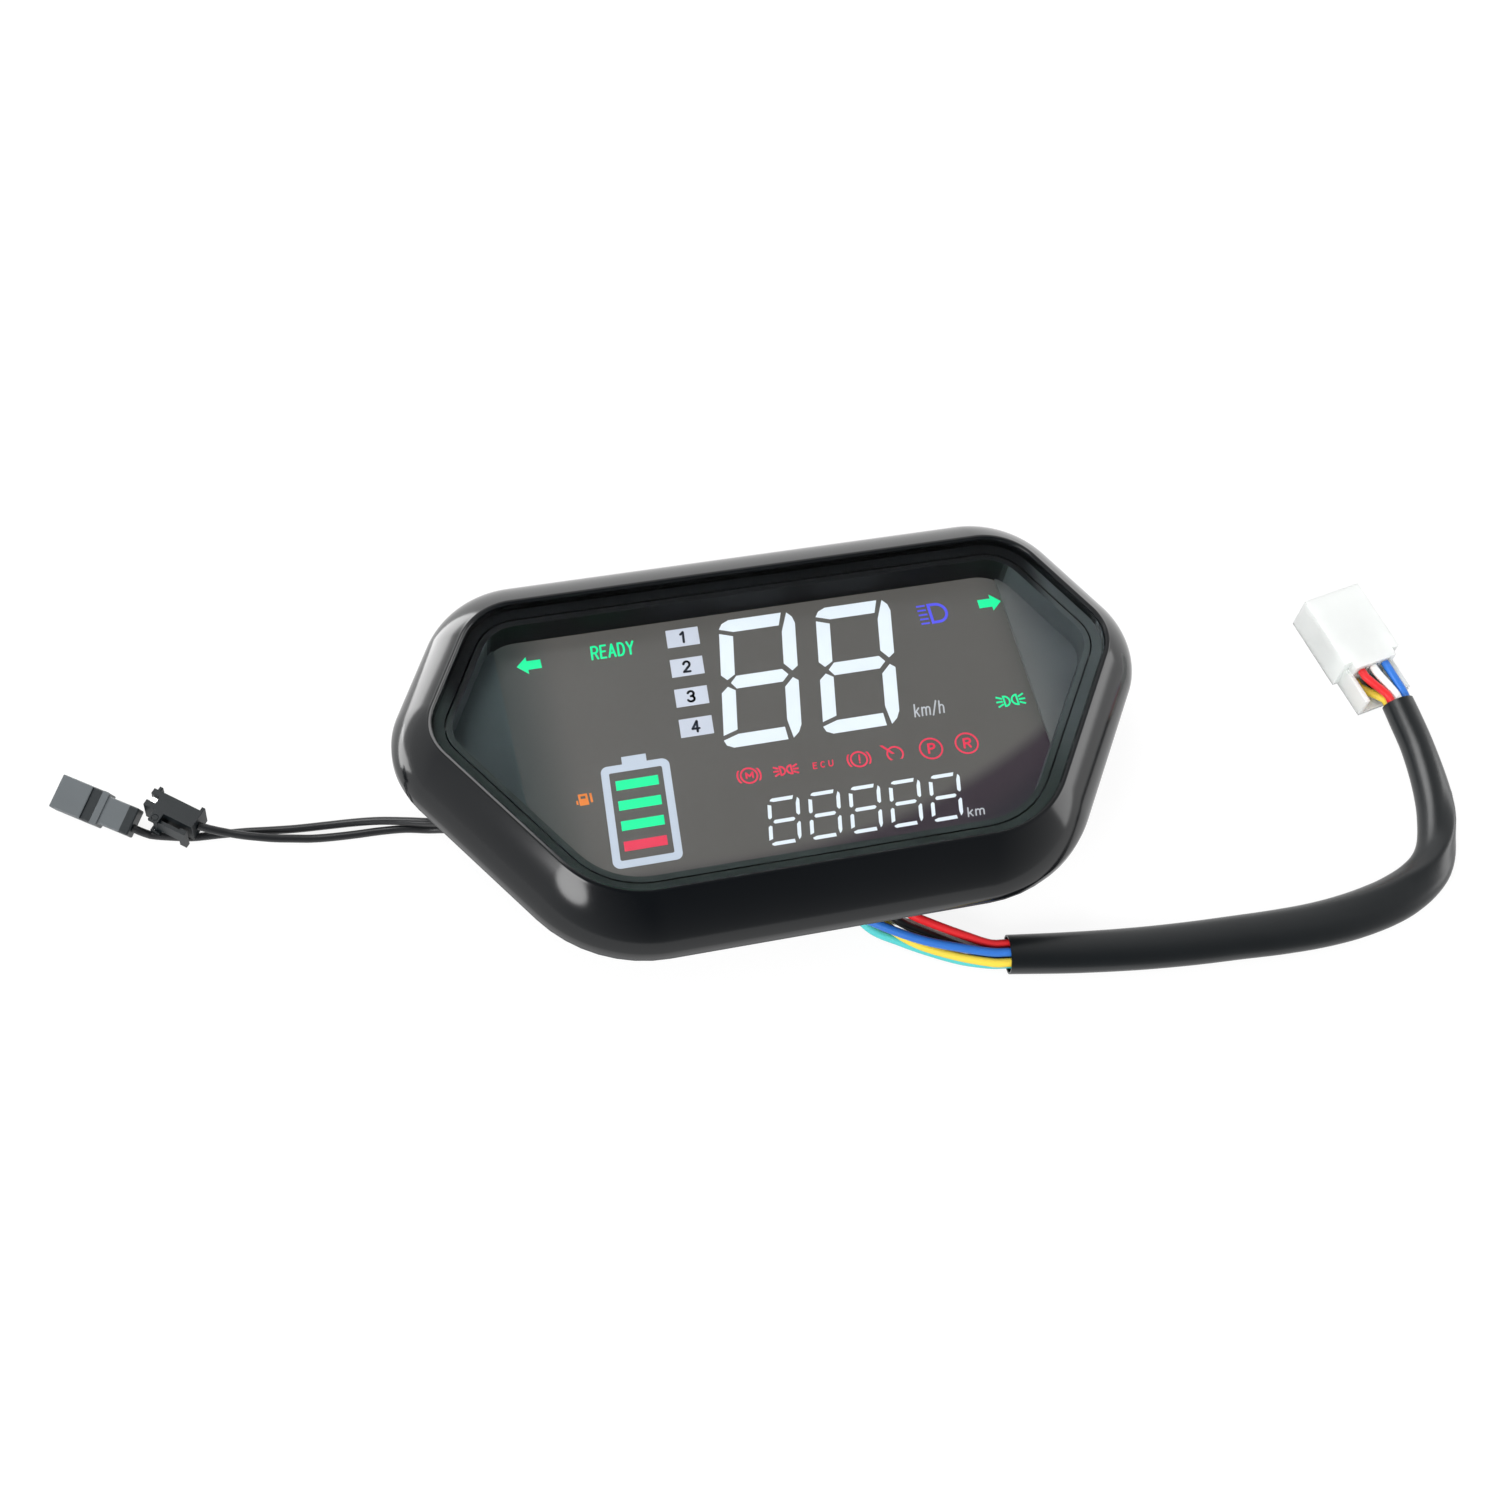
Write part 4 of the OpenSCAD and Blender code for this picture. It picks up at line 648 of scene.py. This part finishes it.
# ---------------------------------------------------------------- cords

def spline(points, step):
    """A smooth curve through points, sampled about every step millimetres."""
    points = [Vector(p) for p in points]
    last = len(points) - 1
    slopes = [(points[min(i + 1, last)] - points[max(i - 1, 0)]).normalized() for i in range(last + 1)]
    found = [points[0]]
    for i in range(last):
        a, b = points[i], points[i + 1]
        third = (b - a).length / 3
        count = max(2, round(3 * third / step) + 1)
        found += interpolate_bezier(a, a + slopes[i] * third, b - slopes[i + 1] * third, b, count)[1:]
    return found


def directions(points):
    """At each point of a curve: its direction, its level side and the way up across it."""
    last = len(points) - 1
    found = []
    for i in range(last + 1):
        ahead = (points[min(i + 1, last)] - points[max(i - 1, 0)]).normalized()
        side = Vector((-ahead.y, ahead.x, 0)).normalized()
        found.append((ahead, side, ahead.cross(side)))
    return found


def line_length(points):
    return sum((b - a).length for a, b in zip(points, points[1:]))


CORD_AROUND = 16
CORD_STEP = 1.5


def round_cord(name, points, diameter, slot):
    """A round wire along points, closed at its ends."""
    line = spline(points, CORD_STEP)
    rings = []
    for centre, (_, side, up) in zip(line, directions(line)):
        for k in range(CORD_AROUND):
            a = 2 * math.pi * k / CORD_AROUND
            rings.append(centre + (side * math.cos(a) + up * math.sin(a)) * diameter / 2)
    caps = [tuple(range(CORD_AROUND))[::-1],
            tuple(range(len(rings) - CORD_AROUND, len(rings)))]
    cord = new_mesh(name, rings, band_faces(len(line), CORD_AROUND, False) + caps)
    dress(cord, LOOKS[slot], slot)
    return cord, line


# The sleeve's middle line, each with the width and height of its oval there
SLEEVE = [
    ((45, -59, 4), 10, 7.6), ((61, -61.5, 4), 10.6, 7.6), ((77, -63.5, 4), 11, 7.6),
    ((91, -64.7, 4), 11.3, 7.6), ((104, -65.4, 4), 11.5, 7.6), ((114, -65.9, 4), 11.8, 7.6),
    ((124, -66, 4), 12, 7.6), ((133.4, -65.4, 4), 12.2, 7.6), ((142.3, -64, 4), 12.2, 7.6),
    ((149, -62.2, 4), 12, 7.6), ((155.6, -59.3, 4), 11.4, 7.6), ((160.8, -55.5, 4), 10.8, 7.6),
    ((164.4, -50.2, 4), 10, 7.6), ((167.6, -41, 4), 9.2, 7.8), ((169.4, -32, 4.1), 9, 7.8),
    ((170.2, -22, 4.4), 8.8, 7.8), ((169.9, -14, 4.8), 8.8, 7.8), ((169.5, -8.9, 5.2), 8.6, 7.8),
]
SLEEVE_WALL = 0.45
SLEEVE_AROUND = 64
SLEEVE_ROUTE = [Vector(station[0]) for station in SLEEVE]
# The fold that runs over the sleeve's bend: distance along it, angle from its left side, height
FOLD = [(0, 55, 0), (50, 52, 0.15), (85, 55, 0.4), (108, 68, 0.8),
        (122, 98, 1.1), (132, 140, 1.0), (142, 165, 0.6), (155, 172, 0)]
FOLD_HALF = 42
FOLD_POWER = 1.6


def between(table, at):
    """Values of a table's row at a distance, straight between two rows."""
    if at >= table[-1][0]:
        return table[-1][1:]
    i = max(j for j in range(len(table) - 1) if table[j][0] <= at)
    t = (at - table[i][0]) / (table[i + 1][0] - table[i][0])
    return [a * (1 - t) + b * t for a, b in zip(table[i][1:], table[i + 1][1:])]


def build_sleeve():
    """A hollow oval tube, open at both ends, with a fold over its bend."""
    line = spline(SLEEVE_ROUTE, CORD_STEP)
    sizes, at = [], 0.0
    for i, (_, width, height) in enumerate(SLEEVE):
        at += (SLEEVE_ROUTE[i] - SLEEVE_ROUTE[max(i - 1, 0)]).length
        sizes.append((at, width, height))
    stretch = at / line_length(line)
    outer, inner = [], []
    at = 0.0
    for i, (centre, (_, side, up)) in enumerate(zip(line, directions(line))):
        at += (centre - line[max(i - 1, 0)]).length * stretch
        width, height = between(sizes, at)
        fold_at, fold_h = between(FOLD, at)
        for points, wall in ((outer, 0), (inner, SLEEVE_WALL)):
            for k in range(SLEEVE_AROUND):
                degrees = 360 * k / SLEEVE_AROUND
                off = abs((degrees - fold_at + 180) % 360 - 180)
                grow = fold_h * max(0, 1 - off / FOLD_HALF) ** FOLD_POWER - wall
                a = math.radians(degrees)
                points.append(centre + side * math.cos(a) * (width / 2 + grow)
                              + up * math.sin(a) * (height / 2 + grow))
    rows = len(line)
    back = [p for r in reversed(range(rows)) for p in inner[r * SLEEVE_AROUND:(r + 1) * SLEEVE_AROUND]]
    sleeve = new_mesh("sleeve_tube", outer + back, band_faces(2 * rows, SLEEVE_AROUND, True))
    dress(sleeve, LOOKS["sleeve"], "sleeve")
    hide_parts("harness_sleeve")


build_sleeve()

WIRE_D = 2.2
WIRE_PITCH = 2.5
HARNESS_X = 13
GROMMET_Z = 6.8
GROMMET_OUT_Y = -38.2
HEADER_FACE_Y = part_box("harness_header")[0].y / MM
BUNDLE_LEAD = 4
PLUG_AT = Vector((167, -6.8))
PLUG_TURN = math.radians(11)
PLUG_MID_Z = 5.4
WEB_Y = 8.4
TERMINAL_PITCH = 3.7
TERMINAL_ROWS = 5.2

# Each wire: hole in the grommet, points on the way, place in the sleeve's start and in its end
# (across, up), and hole in the plug (column, row)
WIRES = {
    "red": (5, [(22.3, -45.3, 8.4), (27.2, -48.6, 7.5), (36, -53.4, 6)],
            (2.4, 1.2), (2.3, 1.15), (-1, 1)),
    "white": (3, [(15.1, -40.6, 5.5), (18.4, -44.5, 4.8), (27, -48.2, 4.4), (36.2, -53.6, 3.1)],
              (2.2, -1.2), (0, 1.15), (0, 1)),
    "blue": (0, [(8.2, -42.6, 8.2), (12.5, -45.9, 8.6), (17.9, -49.6, 8.4), (24.9, -53.4, 7.9),
                 (33, -56.4, 7.2)], (-0.3, 2.1), (-2.3, 1.15), (1, 1)),
    "yellow": (2, [(13.2, -41.5, 7), (15.9, -45.5, 6.2), (22, -51.7, 5.3), (30.2, -56.5, 4.9)],
               (-2.5, 0.9), (2.3, -1.15), (-1, -1)),
    "black": (4, [(19.3, -46.1, 7.5), (27, -50.9, 5.4), (36, -55.9, 3.9)],
              (0.1, -0.15), (0, -1.15), (0, -1)),
    "green": (1, [(12.9, -45.6, 4.2), (20.4, -50.6, 3), (27.6, -54.7, 2.5), (34, -57.9, 2.4)],
              (-1.9, -1.4), (-2.3, -1.15), (1, -1)),
}


def plug_place(x, y, z):
    """A place given across and along the plug."""
    p = PLUG_AT + Matrix.Rotation(PLUG_TURN, 2) @ Vector((x, y))
    return Vector((p.x, p.y, z))


def build_wires():
    """Each wire runs from the header through the grommet and the sleeve to the plug."""
    frames = directions(SLEEVE_ROUTE)
    last = len(SLEEVE_ROUTE) - 1
    for colour, (hole, way, near, far, slot_at) in WIRES.items():
        x = HARNESS_X + (hole - (len(WIRES) - 1) / 2) * WIRE_PITCH
        exit_point = Vector((x, GROMMET_OUT_Y, GROMMET_Z))
        inside = []
        for i, (centre, (ahead, side, up)) in enumerate(zip(SLEEVE_ROUTE, frames)):
            t = i / last
            across, over = (near[k] * (1 - t) + far[k] * t for k in (0, 1))
            place = centre + side * across + up * over
            if i == 0:
                inside.append(place - ahead * BUNDLE_LEAD)
            inside.append(place)
            if i == last:
                inside.append(place + ahead * BUNDLE_LEAD / 2)
        column = slot_at[0] * TERMINAL_PITCH
        row = PLUG_MID_Z + slot_at[1] * TERMINAL_ROWS / 2
        points = [(x, HEADER_FACE_Y, GROMMET_Z), exit_point] + way + inside + [
            plug_place(column, WEB_Y - BUNDLE_LEAD / 2, row), plug_place(column, WEB_Y, row)]
        wire, line = round_cord(f"harness_{colour}", points, WIRE_D, f"wire_{colour}")
        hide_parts(f"wire_{colour}")


build_wires()

LEAD_D = 2
LEAD_PITCH = 3
LEAD_STUB = 3
SENSOR_Y = 1
SENSOR_Z = 6.2
SENSOR_HEADER_IN = 12
TUB_INSET = 5
CONTACT_PITCH = 2.5
HOODED_W, HOODED_Z = 8.5, 2.7
LATCHED_END = Vector((-140.6, 9.8, 5.4))
# The leads' ways from the wall to their connectors
LEAD_A = [
    (-85.1, 1.1, 5.1), (-91.5, 3.2, 3.6), (-98, 5, 2.6), (-104, 6.1, 1.7), (-110, 6.7, 1.2),
    (-118, 7.2, 1.1), (-124, 7.8, 1.1), (-130, 8.5, 1.1), (-136, 8.9, 1.1), (-142.5, 9.3, 1.1),
    (-147.2, 10.3, 1.1), (-150.8, 11.25, 1.1), (-152.2, 11.65, 1.25), (-154.45, 12.02, 3.3),
]
LEAD_B = [
    (-85.3, 0.5, 2.2), (-92, 2.2, 1.6), (-98, 2.9, 1.2), (-104, 3.1, 1.1), (-110, 3.4, 1.1),
    (-114.7, 3.8, 1.2), (-119, 4.4, 1.6), (-123.3, 4.9, 2.3), (-127, 5.5, 3.1), (-130.9, 6.5, 3.5),
    (-134.9, 7.8, 4), (-138, 8.7, 4.9),
]


def hooded_end():
    """Where the first lead enters the tipped hooded connector."""
    y = CONTACT_PITCH / 2 - HOODED_W / 2
    across = HOODED_W / 2 + y * math.cos(HOODED_ROLL) + HOODED_Z * math.sin(HOODED_ROLL)
    p = HOODED_AT + Matrix.Rotation(HOODED_TURN, 2) @ Vector((0, across))
    return Vector((p.x, p.y, HOODED_Z * math.cos(HOODED_ROLL) - y * math.sin(HOODED_ROLL)))


def sensor_point(out, aside):
    """A place near the middle of the sensor leads' way through the left wall, out of it or aside."""
    wall_x = -(LOWER_N.dot(RIDGE_SIDE) - TUB_INSET - LOWER_N.y * SENSOR_Y) / LOWER_N.x
    outward, sideways = Vector((-LOWER_N.x, LOWER_N.y)), Vector((LOWER_N.y, LOWER_N.x))
    p = Vector((wall_x, SENSOR_Y)) + outward * out + sideways * aside
    return Vector((p.x, p.y, SENSOR_Z))


def build_lead(name, aside, way, end):
    """A sensor lead from its header through the wall to its connector."""
    points = [sensor_point(-SENSOR_HEADER_IN, aside), sensor_point(LEAD_STUB, aside)] + way + [end]
    lead, line = round_cord(f"{name}_wire", points, LEAD_D, "wire_black")
    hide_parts(name)


build_lead("sensor_lead_a", LEAD_PITCH / 2, LEAD_A, hooded_end())
build_lead("sensor_lead_b", -LEAD_PITCH / 2, LEAD_B, LATCHED_END)


# ---------------------------------------------------------------- moulded edges

TAPE_CLEAR = 0.03
# Width and steps of each moulded node's rounded edges
EDGES = {
    "main_plug_housing": (0.7, 3),
    "hooded_connector": (0.3, 2),
    "latched_connector": (0.15, 2),
    "latch_lever": (0.12, 2),
    "rear_housing": (0.3, 2),
}


def shrink(node, by):
    """A node drawn a little smaller, so that its faces don't lie in another node's faces."""
    move = NODES[node].modifiers.new("clear", "DISPLACE")
    move.strength = -by * MM
    move.mid_level = 0


shrink("lens_tape", TAPE_CLEAR)
for node, (width, steps) in EDGES.items():
    soften(node, width, steps)


# ---------------------------------------------------------------- floor, light and camera

def seen_rays(tree):
    """1 for camera, glossy and transmission rays."""
    path = tree.nodes.new("ShaderNodeLightPath")
    found = path.outputs["Is Camera Ray"]
    for name in ("Is Glossy Ray", "Is Transmission Ray"):
        node = tree.nodes.new("ShaderNodeMath")
        node.operation = "MAXIMUM"
        tree.links.new(found, node.inputs[0])
        tree.links.new(path.outputs[name], node.inputs[1])
        found = node.outputs[0]
    return found


FLOOR_HALF = 3000
FLOOR_GREY = 0.16
FLOOR_GLOW = 0.87


def build_floor():
    """A pale floor that keeps the object's shadow and looks white where it is open."""
    h = FLOOR_HALF
    corners = [(-h, -h, 0), (h, -h, 0), (h, h, 0), (-h, h, 0)]
    floor = new_mesh("floor", corners, [(0, 1, 2, 3)], smooth=False)
    material = bpy.data.materials.new("floor_white")
    material.use_nodes = True
    tree = material.node_tree
    tree.nodes.clear()
    diffuse = tree.nodes.new("ShaderNodeBsdfDiffuse")
    diffuse.inputs["Color"].default_value = (FLOOR_GREY, FLOOR_GREY, FLOOR_GREY, 1)
    glow = tree.nodes.new("ShaderNodeEmission")
    tree.links.new(seen_rays(tree), glow.inputs["Strength"])
    glow.inputs["Color"].default_value = (FLOOR_GLOW, FLOOR_GLOW, FLOOR_GLOW, 1)
    both = tree.nodes.new("ShaderNodeAddShader")
    out = tree.nodes.new("ShaderNodeOutputMaterial")
    tree.links.new(diffuse.outputs[0], both.inputs[0])
    tree.links.new(glow.outputs[0], both.inputs[1])
    tree.links.new(both.outputs[0], out.inputs["Surface"])
    floor.data.materials.append(material)


WORLD_LIGHT = 0.6
# The ceiling's level in reflections, the span in which it turns to white, and how far it leans
# to the front and to the sides
CEILING = 0.1
CEILING_SPAN = (-1.05, 0.35)
CEILING_LEAN = 0.6
CEILING_SIDES = 0.5


def build_world():
    """White to sight, a plain soft light on the object, and a dim ceiling in its reflections."""
    world = bpy.data.worlds.new("studio")
    bpy.context.scene.world = world
    world.use_nodes = True
    tree = world.node_tree
    tree.nodes.clear()
    join = tree.links.new

    def math_node(operation, factor=0.0):
        node = tree.nodes.new("ShaderNodeMath")
        node.operation = operation
        node.inputs[1].default_value = factor
        return node

    shown, mirrored, light = (tree.nodes.new("ShaderNodeBackground") for _ in range(3))
    for background in (shown, mirrored, light):
        background.inputs["Color"].default_value = (1, 1, 1, 1)
    light.inputs["Strength"].default_value = WORLD_LIGHT

    split = tree.nodes.new("ShaderNodeSeparateXYZ")
    join(tree.nodes.new("ShaderNodeTexCoord").outputs["Generated"], split.inputs["Vector"])
    down, wide = math_node("MULTIPLY", -1), math_node("ABSOLUTE")
    sides, lean = math_node("MULTIPLY_ADD", CEILING_SIDES), math_node("MULTIPLY_ADD", CEILING_LEAN)
    join(split.outputs["Z"], down.inputs[0])
    join(split.outputs["X"], wide.inputs[0])
    join(wide.outputs[0], sides.inputs[0])
    join(down.outputs[0], sides.inputs[2])
    join(split.outputs["Y"], lean.inputs[0])
    join(sides.outputs[0], lean.inputs[2])
    ramp = tree.nodes.new("ShaderNodeMapRange")
    ramp.inputs["From Min"].default_value, ramp.inputs["From Max"].default_value = CEILING_SPAN
    ramp.inputs["To Min"].default_value = CEILING
    join(lean.outputs[0], ramp.inputs["Value"])
    join(ramp.outputs["Result"], mirrored.inputs["Strength"])

    path = tree.nodes.new("ShaderNodeLightPath")
    glossy, choose = (tree.nodes.new("ShaderNodeMixShader") for _ in range(2))
    out = tree.nodes.new("ShaderNodeOutputWorld")
    join(path.outputs["Is Glossy Ray"], glossy.inputs["Fac"])
    join(shown.outputs[0], glossy.inputs[1])
    join(mirrored.outputs[0], glossy.inputs[2])
    join(seen_rays(tree), choose.inputs["Fac"])
    join(light.outputs[0], choose.inputs[1])
    join(glossy.outputs[0], choose.inputs[2])
    join(choose.outputs[0], out.inputs["Surface"])


# Each lamp: name, shape, place, point it faces, width, height, power in watts, shown in reflections
LAMPS = [
    ("key_light", "RECTANGLE", (-500, 700, 1300), (0, 0, 0), 900, 900, 13, True),
    ("front_light", "RECTANGLE", (-600, -900, 700), (0, 0, 20), 900, 500, 11, False),
    ("left_disc", "ELLIPSE", (-935, -520, 545), (0, 0, 20), 520, 340, 3.8, True),
    ("right_box", "RECTANGLE", (1100, -60, 230), (0, 0, 20), 700, 440, 2.5, True),
    ("back_card", "RECTANGLE", (-145, 157, 1), (-145, 157, 100), 100, 160, 0.2, True),
    ("left_card", "RECTANGLE", (-250, 56, 1), (-250, 56, 100), 200, 60, 0.2, True),
]


def build_lamps():
    for name, shape, place, aim, width, height, power, mirrored in LAMPS:
        lamp = bpy.data.lights.new(name, "AREA")
        lamp.shape = shape
        lamp.size, lamp.size_y = width * MM, height * MM
        lamp.energy = power
        obj = bpy.data.objects.new(name, lamp)
        obj.location = Vector(place) * MM
        obj.rotation_euler = (Vector(aim) - Vector(place)).to_track_quat("-Z", "Y").to_euler()
        obj.visible_glossy = mirrored
        obj.visible_camera = False
        bpy.context.scene.collection.objects.link(obj)


CAMERA_AT = Vector((-128.34, -260.86, 510.68))
CAMERA_RIGHT = Vector((0.96549, -0.23477, 0.11274))
CAMERA_UP = Vector((0.15110, 0.85752, 0.49175))
CAMERA_BACK = Vector((-0.21212, -0.45775, 0.86341))
CAMERA_LENS = 55.758
CAMERA_SENSOR = 36
CAMERA_NEAR = 10


def build_camera():
    data = bpy.data.cameras.new("photo_camera")
    data.sensor_width = CAMERA_SENSOR
    data.sensor_fit = "HORIZONTAL"
    data.lens = CAMERA_LENS
    data.clip_start = CAMERA_NEAR * MM
    camera = bpy.data.objects.new("photo_camera", data)
    turn = Matrix((CAMERA_RIGHT, CAMERA_UP, CAMERA_BACK)).transposed().to_4x4()
    camera.matrix_world = Matrix.Translation(CAMERA_AT * MM) @ turn
    bpy.context.scene.collection.objects.link(camera)
    bpy.context.scene.camera = camera


build_floor()
build_world()
build_lamps()
build_camera()
bpy.context.scene.view_settings.view_transform = "Standard"

bpy.context.view_layer.update()
